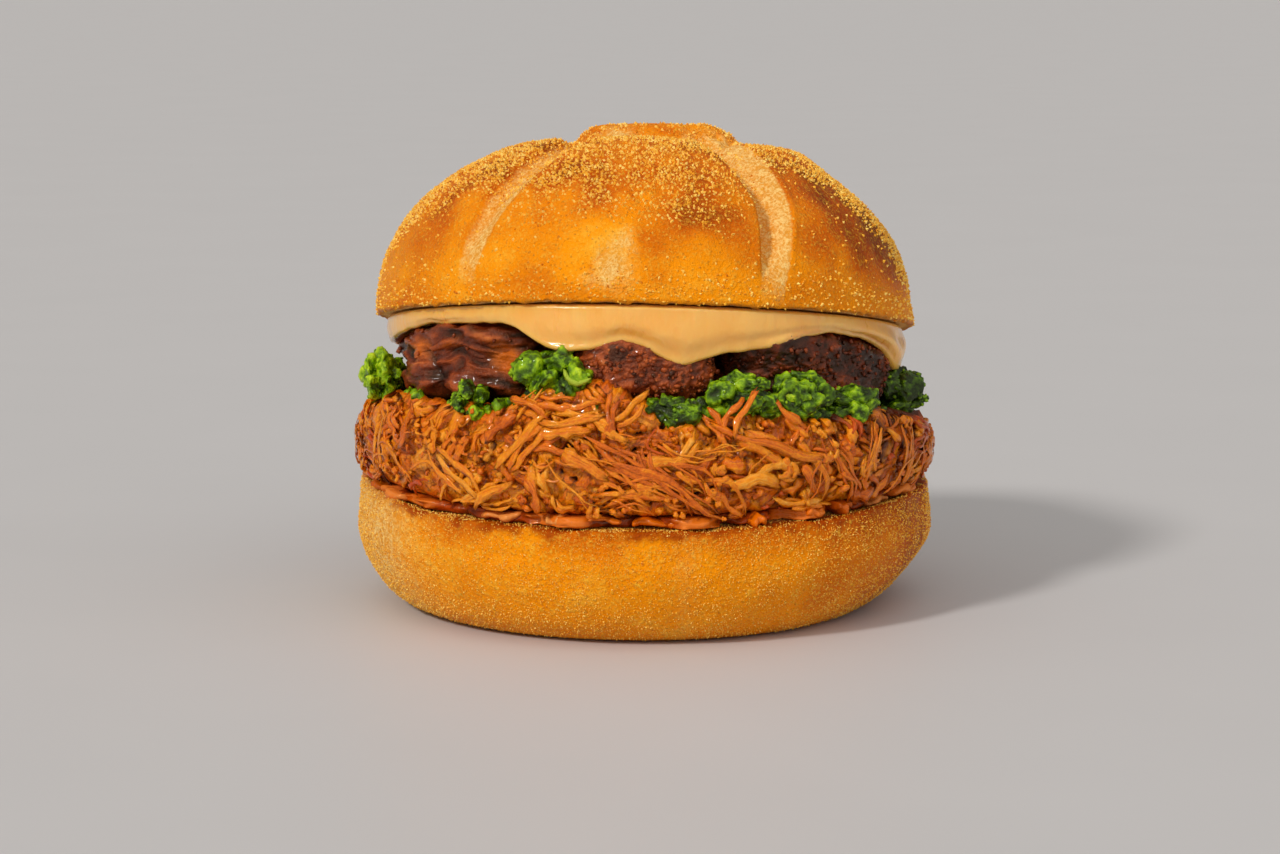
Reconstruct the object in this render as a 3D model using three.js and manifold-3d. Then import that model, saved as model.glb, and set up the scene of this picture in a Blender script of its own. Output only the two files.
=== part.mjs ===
// A star-cut bread roll filled with pulled meat, chopped greens, browned meat and cream sauce.
//
// Millimetres, +Z up, the front faces -Y and +X is to the right. The origin is on the underside,
// in the middle of the roll. An azimuth is measured in degrees seen from above: 0 is the front,
// 90 the right end, 180 the back and -90 the left end.
//
// The layers lie between three planes: the lower half's cut face, the heap's top and the upper
// half's cut face, which leans back because the filling is piled up at the front.

import * as THREE from 'three';
import { mergeVertices } from 'three/addons/utils/BufferGeometryUtils.js';
import Module from 'manifold-3d';

const wasm = await Module();
wasm.setup();

// ---------------------------------------------------------------- driving dimensions

const CLEAR = 0.3; // gap left between two pieces that touch

const LOWER = {
  footRadius: 44, // flat round that the roll rests on
  radius: 57.4, // widest ring
  widest: 16, // its height
  roundness: 1.6, // below 2 the lower edge is flatter than a quarter ellipse
  unevenness: 0.005, // of the radius
  rimRadius: 56.9,
  rimRound: 0.9,
  cutHeight: 23.4,
  cutSlope: 0.0125, // the cut face falls towards the front
  lipWidth: 3.2, // band along the rim that can stand up
  lipWaves: [
    { at: -78, rise: 1.6, wide: 24 },
    { at: 62, rise: 0.9, wide: 22 },
    { at: 150, rise: 0.7, wide: 26 },
  ],
};

const UPPER = {
  radius: 53.2,
  rise: 37.6, // dome height over its cut face
  bulge: 2.3, // exponent of the dome's superellipse
  cutHeight: 55, // cut face over the origin
  leanBack: 10.3, // degrees
  leanRight: 1.2,
  edgeRound: 0.9,
  unevenness: 0.45,
  buttonOff: 1.7, // to the right of the dome's axis
  buttonRadius: 16,
  buttonEdge: 2.3, // half the width of its sloping side
  buttonRise: 1.8,
  ringDip: 2, // furrow round the button
  ringRadius: 20.5,
  ringWidth: 4.5,
  // Lobes that sank in: azimuth and radius of the lowest spot, and its reach each way.
  sunken: [
    { at: 94, radius: 40, deep: 2.1, wide: 36, reach: 8 },
    { at: 0, radius: 26, deep: 0.6, wide: 40, reach: 6 },
    { at: -62, radius: 32, deep: 0.5, wide: 32, reach: 10 },
  ],
  grooveRunIn: 0.2, // share of the climb over which a groove reaches its depth
  grooves: [
    { foot: -40, head: -28, deep: 2.6, wide: 4.2, start: 0.12 },
    { foot: 27, head: 33, deep: 4.2, wide: 5.2, start: 0.04 },
    { foot: 101, head: 112, deep: 3.8, wide: 5, start: 0.12 },
    { foot: 174, head: 190, deep: 4.2, wide: 5.4, start: 0.1 },
    { foot: -108, head: -102, deep: 3.4, wide: 4.8, start: 0.16 },
  ],
};

const ONION = {
  radius: 53.6, // wet layer of braised onion on the lower cut face
  thick: 1.9,
  unevenness: 0.5,
  slabs: [
    { at: -17, half: 6, reach: 56 },
    { at: 10, half: 4.5, reach: 55.8 },
    { at: 33, half: 7, reach: 55.6 },
    { at: -52, half: 5, reach: 55.4 },
    { at: 128, half: 7, reach: 55.6 },
    { at: -150, half: 6, reach: 55.8 },
  ],
};

const HEAP = {
  coreRadius: 54, // at the foot and at the top
  belly: 2.1, // how far the core bulges between them
  unevenness: 0.5,
  topHeight: 37.5, // top plane over the origin
  topSlopeX: -0.03,
  topSlopeY: -0.1, // piled up towards the front
  strands: 50,
  steepShare: 0.16, // of them, lying more up and down than round the heap
  proud: 1.6, // how far the highest reach over the core's top
  seed: 20,
};

// One browned piece each: its middle azimuth, half its length and half its depth.
const BROWNED = {
  left: { at: -52.5, half: 27, middle: 29, deep: 22, rough: 0.07, turn: 0.4, detail: 3 },
  middle: { at: 0, half: 16.6, middle: 29, deep: 21.5, rough: 0.06, turn: 1.7, detail: 3 },
  right: { at: 47.5, half: 28.5, middle: 29.5, deep: 21.5, rough: 0.07, turn: 2.9, detail: 3 },
  back_right: { at: 113.5, half: 31.5, middle: 30, deep: 21, rough: 0.07, turn: 4.1, detail: 2 },
  back: { at: 176, half: 27, middle: 30, deep: 21, rough: 0.07, turn: 5.3, detail: 2 },
  back_left: { at: -120, half: 34.5, middle: 30, deep: 21, rough: 0.07, turn: 6.5, detail: 2 },
};
const PLAN_BOXY = 4; // superellipsoid exponents of the browned pieces, seen from above
const SIDE_BOXY = 3; // and from the side

const GREENS = {
  radius: 50,
  thick: 1.5,
  bumps: 0.16, // relief of the curly pieces, as a share of a clump's size
  seed: 7,
  clumps: [
    { at: -77, radius: 51.6, height: 45.5, wide: 6.6, deep: 4.6, high: 5.2 },
    { at: -39, radius: 51.8, height: 45, wide: 5.6, deep: 3.6, high: 3.6 },
    { at: -20, radius: 49.6, height: 50.6, wide: 9.2, deep: 4.2, high: 5 },
    { at: 6.5, radius: 51.8, height: 44.5, wide: 7.4, deep: 2.8, high: 2.4 },
    { at: 20, radius: 51.6, height: 47, wide: 6, deep: 3.6, high: 4.6 },
    { at: 33, radius: 51.8, height: 45.6, wide: 6.4, deep: 4, high: 5.2 },
    { at: 48, radius: 51.8, height: 43.2, wide: 7, deep: 3.8, high: 3.8 },
    { at: 74, radius: 52, height: 43, wide: 5.4, deep: 4.2, high: 4.8 },
    { at: 96, radius: 51, height: 40, wide: 7, deep: 4, high: 3.6 },
    { at: 138, radius: 50.6, height: 38.5, wide: 7.4, deep: 4, high: 5 },
    { at: 158, radius: 51, height: 36.4, wide: 6, deep: 3.6, high: 3 },
    { at: -162, radius: 50.6, height: 38, wide: 7.6, deep: 4, high: 4.6 },
    { at: -124, radius: 51, height: 38.4, wide: 8, deep: 3.8, high: 3.2 },
    { at: -96, radius: 51.2, height: 41, wide: 5.6, deep: 4, high: 4.2 },
  ],
};

const SAUCE = {
  radius: 51,
  sheet: 1.4, // thickness between the browned pieces and the bread
  hang: 2.8, // how far the edge hangs where nothing drips
  skirt: 2.4, // thickness of the hanging edge
  drips: [
    { at: -90, drop: 2.4, wide: 12 },
    { at: -16, drop: 5, wide: 7.5 },
    { at: 9, drop: 8.2, wide: 5.5 },
    { at: 22, drop: 4.4, wide: 6 },
    { at: 75, drop: 7.4, wide: 5 },
    { at: 124, drop: 3.4, wide: 8 },
    { at: 172, drop: 4.2, wide: 7 },
    { at: -142, drop: 5, wide: 7 },
  ],
};

const COLOURS = {
  crust: 0xdc8f2e,
  onion: 0x8a4420,
  heap: 0xb5591a,
  greens: 0x566d16,
  browned: 0x6a3620,
  sauce: 0xf4b566,
};

// ---------------------------------------------------------------- numbers and places

const GOLDEN_TURN = (Math.sqrt(5) - 1) / 2; // spreads things evenly without rows

const radians = THREE.MathUtils.degToRad;
const degrees = THREE.MathUtils.radToDeg;
const { clamp, lerp, smoothstep } = THREE.MathUtils;

// Repeatable draws between 0 and 1.
function seeded(seed) {
  let state = seed >>> 0;
  return () => {
    state = (state + 0x6d2b79f5) >>> 0;
    let mixed = Math.imul(state ^ (state >>> 15), 1 | state);
    mixed = (mixed + Math.imul(mixed ^ (mixed >>> 7), 61 | mixed)) ^ mixed;
    return ((mixed ^ (mixed >>> 14)) >>> 0) / 4294967296;
  };
}

function azimuthOf(x, y) {
  return degrees(Math.atan2(x, -y));
}

function turnBetween(a, b) {
  return ((((a - b) % 360) + 540) % 360) - 180;
}

function around(azimuth, radius, height) {
  const angle = radians(azimuth);
  return new THREE.Vector3(radius * Math.sin(angle), -radius * Math.cos(angle), height);
}

// A smooth uneven field between about -1 and 1.
function uneven(x, y, z, shift = 0) {
  const a = Math.sin(x * 1.31 + y * 0.67 - z * 0.43 + shift);
  const b = Math.sin(y * 1.13 - x * 0.57 + z * 0.89 + shift * 2.3 + 1.1);
  const c = Math.sin(z * 1.37 + x * 0.41 + y * 0.31 + shift * 3.1 + 2.7);
  return (a + b + c) / 2.2;
}

// A hump of the given width at an azimuth, 1 at its middle.
function hump(azimuth, at, wide) {
  return Math.exp(-((turnBetween(azimuth, at) / wide) ** 2));
}

function sumOfHumps(azimuth, list, size) {
  return list.reduce((sum, one) => sum + one[size] * hump(azimuth, one.at, one.wide), 0);
}

// ---------------------------------------------------------------- the planes between layers

const upperTurn = new THREE.Euler(-radians(UPPER.leanBack), radians(UPPER.leanRight), 0);
const upperNormal = new THREE.Vector3(0, 0, 1).applyEuler(upperTurn);

function cutFace(x, y) {
  return LOWER.cutHeight + LOWER.cutSlope * y;
}

// How far the lower half's crust stands up over its cut face along the rim.
function lipRise(x, y) {
  const { rimRadius, lipWidth, lipWaves } = LOWER;
  const share = smoothstep(Math.hypot(x, y), rimRadius - lipWidth, rimRadius - LOWER.rimRound);
  return sumOfHumps(azimuthOf(x, y), lipWaves, 'rise') * share;
}

function heapFoot(x, y) {
  return cutFace(x, y) + ONION.thick + 2 * CLEAR;
}

function heapTop(x, y) {
  return HEAP.topHeight + HEAP.topSlopeX * x + HEAP.topSlopeY * y;
}

function upperFace(x, y) {
  return UPPER.cutHeight - (upperNormal.x * x + upperNormal.y * y) / upperNormal.z;
}

// ---------------------------------------------------------------- solids

// Shared corners merged, and triangles that shrank to a line left out.
function closed(geometry) {
  const bare = geometry.index ? geometry.toNonIndexed() : geometry.clone();
  bare.deleteAttribute('normal');
  bare.deleteAttribute('uv');
  const merged = mergeVertices(bare, 1e-4);
  const corners = merged.index.array;
  const kept = [];
  for (let i = 0; i < corners.length; i += 3) {
    const [a, b, c] = [corners[i], corners[i + 1], corners[i + 2]];
    if (a !== b && b !== c && c !== a) {
      kept.push(a, b, c);
    }
  }
  merged.setIndex(kept);
  return merged;
}

// The closed geometry with each vertex moved to where place(vertex) puts it.
function reshaped(geometry, place) {
  const shape = closed(geometry);
  const positions = shape.attributes.position;
  const vertex = new THREE.Vector3();
  for (let i = 0; i < positions.count; i += 1) {
    const moved = place(vertex.fromBufferAttribute(positions, i));
    positions.setXYZ(i, moved.x, moved.y, moved.z);
  }
  return shape;
}

function solid(geometry) {
  const vertProperties = new Float32Array(geometry.attributes.position.array);
  const triVerts = new Uint32Array(geometry.index.array);
  const made = new wasm.Manifold(new wasm.Mesh({ numProp: 3, vertProperties, triVerts }));
  if (made.volume() > 0) {
    return made;
  }
  const reversed = triVerts.slice().reverse();
  return new wasm.Manifold(new wasm.Mesh({ numProp: 3, vertProperties, triVerts: reversed }));
}

// The one body left when scraps and sealed hollows are dropped.
function mainBody(made) {
  const bodies = made.decompose();
  return bodies.reduce((most, body) => (body.volume() > most.volume() ? body : most));
}

function joined(pieces) {
  return pieces.reduce((whole, piece) => whole.add(piece));
}

// A profile of [radius, height] corners turned round Z, then reshaped.
function turned(profile, segments, place) {
  const corners = profile.map(([radius, height]) => new THREE.Vector2(radius, height));
  const lathe = new THREE.LatheGeometry(corners, segments);
  lathe.rotateX(Math.PI / 2);
  return solid(reshaped(lathe, place));
}

// ---------------------------------------------------------------- bread

function lowerHalf() {
  const steps = 6;
  const { footRadius, radius, widest, roundness, rimRadius, rimRound, lipWidth, cutHeight } = LOWER;
  const profile = [[0, 0]];
  for (let i = 0; i <= steps; i += 1) {
    const height = widest * (1 - Math.cos((i / steps) * (Math.PI / 2)));
    const out = Math.sqrt(1 - (1 - height / widest) ** roundness);
    profile.push([lerp(footRadius, radius, out), height]);
  }
  profile.push([lerp(radius, rimRadius, 0.2), lerp(widest, cutHeight, 0.55)]);
  profile.push([rimRadius, cutHeight - rimRound]);
  profile.push([rimRadius - rimRound, cutHeight]);
  profile.push([rimRadius - lipWidth, cutHeight]);
  profile.push([0, cutHeight]);
  return turned(profile, 50, (v) => {
    const up = v.z / cutHeight;
    const wall = smoothstep(Math.hypot(v.x, v.y), footRadius, footRadius + 8);
    const swell = 1 + LOWER.unevenness * wall * uneven(v.x / 14, v.y / 14, v.z / 14);
    const tilt = LOWER.cutSlope * v.y * up;
    const lip = lipRise(v.x, v.y) * smoothstep(up, 0.6, 1);
    return new THREE.Vector3(v.x * swell, v.y * swell, v.z + tilt + lip);
  });
}

// How far the crust stands off the plain dome. climb is 0 at the cut edge and 1 at the top.
function crustRelief(x, y, z, climb) {
  const radius = Math.hypot(x, y);
  const azimuth = azimuthOf(x, y);
  let relief = UPPER.unevenness * uneven(x / 11, y / 11, z / 11);
  UPPER.grooves.forEach((groove) => {
    const middle = lerp(groove.foot, groove.head, climb);
    const across = radians(turnBetween(azimuth, middle)) * radius;
    const cut = Math.exp(-(Math.abs(across / groove.wide) ** 1.6));
    const along = smoothstep(climb, groove.start, groove.start + UPPER.grooveRunIn);
    const towardsButton = smoothstep(radius, UPPER.buttonRadius, UPPER.ringRadius);
    relief -= groove.deep * cut * along * towardsButton;
  });
  UPPER.sunken.forEach((spot) => {
    const across = (radius - spot.radius) / spot.reach;
    relief -= spot.deep * hump(azimuth, spot.at, spot.wide) * Math.exp(-(across ** 2));
  });
  const fromButton = Math.hypot(x - UPPER.buttonOff, y);
  const ring = Math.exp(-(((fromButton - UPPER.ringRadius) / UPPER.ringWidth) ** 2));
  const top = UPPER.buttonRadius - UPPER.buttonEdge;
  const button = 1 - smoothstep(fromButton, top, UPPER.buttonRadius + UPPER.buttonEdge);
  return relief - UPPER.ringDip * ring + UPPER.buttonRise * button;
}

function upperHalf() {
  const rings = 12;
  const firstRing = 0.02;
  const power = 2 / UPPER.bulge;
  const edge = UPPER.radius - UPPER.edgeRound;
  const profile = [[0, 0], [edge - 3, 0], [edge, 0], [UPPER.radius - 0.2, UPPER.edgeRound * 0.6]];
  for (let i = 0; i < rings; i += 1) {
    const angle = lerp(firstRing, 1, i / rings) * (Math.PI / 2);
    profile.push([UPPER.radius * Math.cos(angle) ** power, UPPER.rise * Math.sin(angle) ** power]);
  }
  profile.push([0, UPPER.rise]);
  return turned(profile, 76, (v) => {
    if (v.z < UPPER.edgeRound / 2) {
      return v.clone();
    }
    const radius = Math.hypot(v.x, v.y);
    const shareOut = radius / UPPER.radius;
    const shareUp = v.z / UPPER.rise;
    const climb = Math.atan2(shareUp ** (1 / power), shareOut ** (1 / power)) / (Math.PI / 2);
    const outward = (shareOut ** (UPPER.bulge - 1)) / UPPER.radius;
    const upward = (shareUp ** (UPPER.bulge - 1)) / UPPER.rise;
    const relief = crustRelief(v.x, v.y, v.z, climb) * smoothstep(v.z, 0, 5);
    const push = relief / Math.hypot(outward, upward);
    const stretch = radius > 0 ? 1 + (push * outward) / radius : 1;
    return new THREE.Vector3(v.x * stretch, v.y * stretch, v.z + push * upward);
  });
}

// ---------------------------------------------------------------- braised onion

function onionLayer() {
  const { radius, thick, slabs, unevenness } = ONION;
  const profile = [[0, 0], [radius - 0.5, 0], [radius, thick * 0.45], [radius - 0.6, thick], [0, thick]];
  return turned(profile, 60, (v) => {
    const azimuth = azimuthOf(v.x, v.y);
    const slab = slabs.reduce((most, { at, half, reach }) => {
      const inside = 1 - smoothstep(Math.abs(turnBetween(azimuth, at)), half - 2, half + 2);
      return Math.max(most, inside * (reach - radius));
    }, 0);
    const stretch = 1 + (slab + unevenness * uneven(azimuth / 7, 0, 0)) / radius;
    const [x, y] = [v.x * stretch, v.y * stretch];
    const lip = lipRise(x * 1.02, y * 1.02) * (1 - v.z / thick);
    return new THREE.Vector3(x, y, cutFace(x, y) + CLEAR + v.z + lip);
  });
}

// ---------------------------------------------------------------- pulled meat

// Radius of the bare core at a share of its height, from 0 at its foot to 1 at its top.
function coreRadius(azimuth, share) {
  const belly = HEAP.belly * Math.sin(Math.PI * clamp(share, 0, 1));
  return HEAP.coreRadius + belly + HEAP.unevenness * uneven(azimuth / 9, share * 4, 0);
}

function heapCore(grow = 0) {
  const corners = [[0, 0], [1, 0], [1, 0.3], [1, 0.65], [1, 1], [0, 1]];
  return turned(corners, 54, (v) => {
    const azimuth = azimuthOf(v.x, v.y);
    const out = Math.hypot(v.x, v.y) * (coreRadius(azimuth, v.z) + grow);
    const flat = around(azimuth, out, 0);
    const foot = heapFoot(flat.x, flat.y) - grow;
    const top = heapTop(flat.x, flat.y) + grow;
    return flat.setZ(lerp(foot, top, v.z));
  });
}

// Foot and top of the heap at its rim.
function heapRange(azimuth) {
  const { x, y } = around(azimuth, HEAP.coreRadius, 0);
  return [heapFoot(x, y), heapTop(x, y)];
}

// A strand of meat lying on the side of the heap, tapered to round ends.
function strand({ azimuth, height, length, lean, wide, thick, lift, arch, curl }) {
  const reach = 3; // half the unbent capsule's length
  const capsule = new THREE.CapsuleGeometry(1, 2 * reach - 2, 1, 5, 3);
  const bend = radians(lean);
  const [low, high] = heapRange(azimuth);
  return reshaped(capsule, (v) => {
    const share = v.y / reach;
    const along = (share * length) / 2;
    const across = curl * (1 - share * share) + v.x * wide;
    const level = height + along * Math.sin(bend) + across * Math.cos(bend);
    const turn = degrees((along * Math.cos(bend) - across * Math.sin(bend)) / HEAP.coreRadius);
    const base = coreRadius(azimuth + turn, (level - low) / (high - low)) + lift;
    return around(azimuth + turn, base + arch * (1 - share * share) + v.z * thick, level);
  });
}

// Where strands go: spread evenly round the heap and over its height, each lying its own way.
function strandPlan() {
  const draw = seeded(HEAP.seed);
  return Array.from({ length: HEAP.strands }, (_, i) => {
    const azimuth = (i * GOLDEN_TURN * 360) % 360;
    const [low, high] = heapRange(azimuth);
    const lean = lerp(-50, 50, draw()) + (draw() < HEAP.steepShare ? 60 : 0);
    const wide = lerp(1.1, 2, draw());
    const thick = lerp(0.9, 1.3, draw());
    const wanted = lerp(15, 32, draw());
    const room = high + HEAP.proud - low - 2 * wide;
    const steep = Math.abs(Math.sin(radians(lean)));
    const length = Math.min(wanted, room / Math.max(steep, 0.01));
    const halfRise = (steep * length) / 2 + wide;
    const height = lerp(low + halfRise, high + HEAP.proud - halfRise, (i * GOLDEN_TURN * 7) % 1);
    const lift = thick * lerp(0.3, 0.85, draw());
    const arch = lerp(0, 0.6, draw());
    const curl = lerp(-2, 2, draw());
    return { azimuth, height, length, lean, wide, thick, lift, arch, curl };
  });
}

function pulledMeat(keepOut) {
  let heap = heapCore();
  strandPlan().forEach((plan) => {
    const piece = solid(strand(plan));
    const crosses = keepOut.some((other) => piece.intersect(other).volume() > 0);
    if (!crosses) {
      heap = heap.add(piece);
    }
  });
  return mainBody(heap);
}

// ---------------------------------------------------------------- browned meat

// A height between the greens (-1) and the underside of the sauce (1).
function browningSpace(x, y, level, grow) {
  const low = heapTop(x, y) + GREENS.thick + 3 * CLEAR;
  const high = upperFace(x, y) - SAUCE.sheet - 3 * CLEAR;
  return lerp(low, high, 0.5) + level * ((high - low) / 2 + grow);
}

function brownedPiece({ at, half, middle, deep, rough, turn, detail }, grow = 0) {
  const ball = new THREE.IcosahedronGeometry(1, detail);
  const reference = middle + deep;
  return solid(reshaped(ball, (v) => {
    const plan = (Math.abs(v.x) ** PLAN_BOXY + Math.abs(v.y) ** PLAN_BOXY) ** (SIDE_BOXY / PLAN_BOXY);
    const lumpy = 1 + rough * uneven(v.x * 3.1, v.y * 3.1, v.z * 3.1, turn);
    const stretch = lumpy * (plan + Math.abs(v.z) ** SIDE_BOXY) ** (-1 / SIDE_BOXY);
    const azimuth = at + v.x * stretch * (half + degrees(grow / reference));
    const flat = around(azimuth, Math.min(middle + v.y * stretch * (deep + grow), reference + grow), 0);
    return flat.setZ(browningSpace(flat.x, flat.y, clamp(v.z * stretch, -1, 1), grow));
  }));
}

// ---------------------------------------------------------------- chopped greens

function clump({ at, radius, height, wide, deep, high }, draw, grow = 0) {
  const centre = around(at, radius, height);
  const outward = around(at, 1, 0);
  const sideways = around(at + 90, 1, 0);
  return solid(reshaped(new THREE.IcosahedronGeometry(1, 1), (v) => {
    const bump = GREENS.bumps * lerp(-1, 1, draw());
    const stretch = 1 + bump + grow / Math.min(wide, deep, high);
    return centre.clone()
      .addScaledVector(sideways, v.x * wide * stretch)
      .addScaledVector(outward, v.y * deep * stretch)
      .setZ(height + v.z * high * stretch);
  }));
}

function greenClumps(grow = 0) {
  const draw = seeded(GREENS.seed);
  return GREENS.clumps.map((one) => clump(one, draw, grow));
}

function greensSheet() {
  const corners = [[0, 0], [1, 0], [1, 1], [0, 1]];
  return turned(corners, 48, (v) => {
    const azimuth = azimuthOf(v.x, v.y);
    const out = Math.hypot(v.x, v.y) * (GREENS.radius + 0.8 * uneven(azimuth / 8, 0, 0, 2.1));
    const flat = around(azimuth, out, 0);
    return flat.setZ(heapTop(flat.x, flat.y) + CLEAR + v.z * GREENS.thick);
  });
}

// ---------------------------------------------------------------- cream sauce

function sauceSheet() {
  const { radius, sheet, skirt } = SAUCE;
  const full = 10; // depth in the profile that stands for the whole hanging edge
  const profile = [
    [0, -sheet], [radius - 9, -sheet], [radius - skirt - 1.6, -sheet - full * 0.5],
    [radius - skirt + 0.4, -sheet - full * 0.93], [radius - 0.9, -sheet - full],
    [radius + 0.1, -sheet - full * 0.78], [radius + 0.2, -sheet - full * 0.3],
    [radius, -0.5], [radius - 0.7, 0], [0, 0],
  ];
  return turned(profile, 58, (v) => {
    const azimuth = azimuthOf(v.x, v.y);
    const rim = Math.hypot(v.x, v.y) / radius;
    const drip = sumOfHumps(azimuth, SAUCE.drips, 'drop');
    const swell = smoothstep(rim, 0.7, 1) * (0.35 * uneven(azimuth / 10, 0, 0, 3.3) + 0.09 * drip);
    const flat = around(azimuth, Math.hypot(v.x, v.y) + swell, 0);
    const below = Math.max(0, -v.z - sheet) / full;
    const hanging = Math.max(SAUCE.hang + drip - sheet, 0.5);
    const depth = Math.min(-v.z, sheet) + below * hanging;
    return flat.setZ(upperFace(flat.x, flat.y) - CLEAR - depth);
  });
}

// ---------------------------------------------------------------- the filled roll

const browned = Object.entries(BROWNED).map(([name, size]) => [name, brownedPiece(size)]);
const brownedRoom = joined(Object.values(BROWNED).map((size) => brownedPiece(size, CLEAR)));
const greensRoom = joined(greenClumps(CLEAR));
const coreRoom = heapCore(CLEAR);
const lower = lowerHalf();
const onion = onionLayer();
const pulled = pulledMeat([lower, onion, greensRoom, brownedRoom]);
const greens = mainBody(joined([greensSheet(), ...greenClumps()]).subtract(brownedRoom).subtract(coreRoom));
const sauce = mainBody(sauceSheet().subtract(brownedRoom).subtract(greensRoom));

function node(name, made, colour, roughness) {
  const { vertProperties, triVerts } = made.getMesh();
  const geometry = new THREE.BufferGeometry();
  geometry.setAttribute('position', new THREE.BufferAttribute(vertProperties, 3));
  geometry.setIndex(new THREE.BufferAttribute(triVerts, 1));
  geometry.computeVertexNormals();
  const material = new THREE.MeshStandardMaterial({ color: colour, roughness, metalness: 0 });
  const mesh = new THREE.Mesh(geometry, material);
  mesh.name = name;
  return mesh;
}

const roll = new THREE.Group();
roll.add(node('bottom_roll', lower, COLOURS.crust, 0.75));
roll.add(node('braised_onion', onion, COLOURS.onion, 0.3));
roll.add(node('pulled_meat', pulled, COLOURS.heap, 0.35));
roll.add(node('chopped_greens', greens, COLOURS.greens, 0.35));
browned.forEach(([name, made]) => {
  roll.add(node(`browned_meat_${name}`, made, COLOURS.browned, 0.4));
});
roll.add(node('cream_sauce', sauce, COLOURS.sauce, 0.35));

const topRoll = node('top_roll', upperHalf(), COLOURS.crust, 0.7);
topRoll.position.set(0, 0, UPPER.cutHeight);
topRoll.rotation.copy(upperTurn);
roll.add(topRoll);

export default roll;
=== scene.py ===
"""A star-cut bread roll filled with pulled meat, chopped greens, browned meat and cream sauce.

Sizes are in millimetres until a mesh is made of them, +Z is up and the front faces -Y. An azimuth
is in degrees seen from above: 0 is the front, 90 the right end, 180 the back, -90 the left end.
A list of humps holds (azimuth, size, width) of each swelling round the roll.
"""

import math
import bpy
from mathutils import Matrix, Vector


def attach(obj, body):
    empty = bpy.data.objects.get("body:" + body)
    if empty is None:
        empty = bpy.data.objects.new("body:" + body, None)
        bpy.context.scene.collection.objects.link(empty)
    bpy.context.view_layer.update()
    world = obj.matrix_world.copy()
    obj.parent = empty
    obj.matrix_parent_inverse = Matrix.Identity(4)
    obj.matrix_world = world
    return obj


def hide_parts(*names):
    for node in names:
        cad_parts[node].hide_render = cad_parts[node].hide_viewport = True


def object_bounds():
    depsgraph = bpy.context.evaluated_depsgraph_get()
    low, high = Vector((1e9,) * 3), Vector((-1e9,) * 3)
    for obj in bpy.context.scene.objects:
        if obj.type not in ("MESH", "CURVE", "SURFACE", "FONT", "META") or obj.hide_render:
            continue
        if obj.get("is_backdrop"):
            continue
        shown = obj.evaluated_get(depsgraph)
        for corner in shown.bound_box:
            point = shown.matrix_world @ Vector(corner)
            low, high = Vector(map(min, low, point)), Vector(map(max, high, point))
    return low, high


bl_info = {
    "name": "Filled star-cut roll",
    "version": (1, 0, 0),
    "blender": (4, 5, 0),
    "location": "3D View > Sidebar > Filled Roll",
    "description": "Dresses the roll's solids as baked bread, meat, greens and sauce",
    "category": "Object",
}

from types import SimpleNamespace as Sizes

import bmesh
import bpy
import numpy as np
from mathutils import Vector
from mathutils.bvhtree import BVHTree

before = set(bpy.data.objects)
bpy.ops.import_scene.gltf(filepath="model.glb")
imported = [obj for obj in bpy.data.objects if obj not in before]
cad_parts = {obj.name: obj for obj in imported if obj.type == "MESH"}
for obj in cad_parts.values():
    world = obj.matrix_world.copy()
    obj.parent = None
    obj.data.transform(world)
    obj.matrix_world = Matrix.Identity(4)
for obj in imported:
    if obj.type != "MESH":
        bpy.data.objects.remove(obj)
CAD_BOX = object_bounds()

MM = 0.001

# ---------------------------------------------------------------- main sizes, as in the solids

CLEAR = 0.3  # gap between two pieces that touch

LOWER = Sizes(
    foot_radius=44, radius=57.4, widest=16, roundness=1.6, unevenness=0.005,
    rim_radius=56.9, rim_round=0.9, cut_height=23.4, cut_slope=0.0125, lip_width=3.2,
    lip_waves=((-78, 1.6, 24), (62, 0.9, 22), (150, 0.7, 26)),
)

UPPER = Sizes(
    radius=53.2, rise=37.6, bulge=2.3, cut_height=55, lean_back=10.3, lean_right=1.2,
    unevenness=0.45, button_off=1.7, button_radius=16, button_edge=2.3, button_rise=1.8,
    ring_dip=2, ring_radius=20.5, ring_width=4.5,
    # lobes that sank in: azimuth and radius of the lowest spot, its depth and its reach each way
    sunken=((94, 40, 2.1, 36, 8), (0, 26, 0.6, 40, 6), (-62, 32, 0.5, 32, 10)),
)

ONION = Sizes(
    radius=53.6, thick=1.9, unevenness=0.5,
    # azimuth, half its angle, reach
    slabs=(
        (-17, 6, 56), (10, 4.5, 55.8), (33, 7, 55.6), (-52, 5, 55.4),
        (128, 7, 55.6), (-150, 6, 55.8),
    ),
)

HEAP = Sizes(
    core_radius=54, belly=2.1, unevenness=0.5, top_height=37.5, top_slope_x=-0.03, top_slope_y=-0.1,
    reach=58,  # radius that no strand passes
    arc_radius=56,  # radius at which lengths round the heap are measured
    # humps where strands are heaped above the rest, and where they hang over the onion
    mounds=(
        (-20, 5, 7), (-8, 5.3, 7), (18, 3.5, 3.5), (55, 1.8, 10), (-66, 1.6, 9), (118, 2, 12),
        (-150, 2.2, 14),
    ),
    hang=(
        (-64, 1.6, 14), (-36, 0.9, 8), (-2, 0.9, 6), (17, 1.1, 5), (52, 1.5, 12), (85, 1, 15),
        (130, 1.2, 12), (180, 1.4, 14), (-130, 1.2, 14),
    ),
    dark_end=((76, 0.3, 30),),  # hump by which the meat is darker, added to the painted shade between the strands
    red_end=((72, 0.3, 26),),  # hump of strands soaked in red sauce
)

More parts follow.
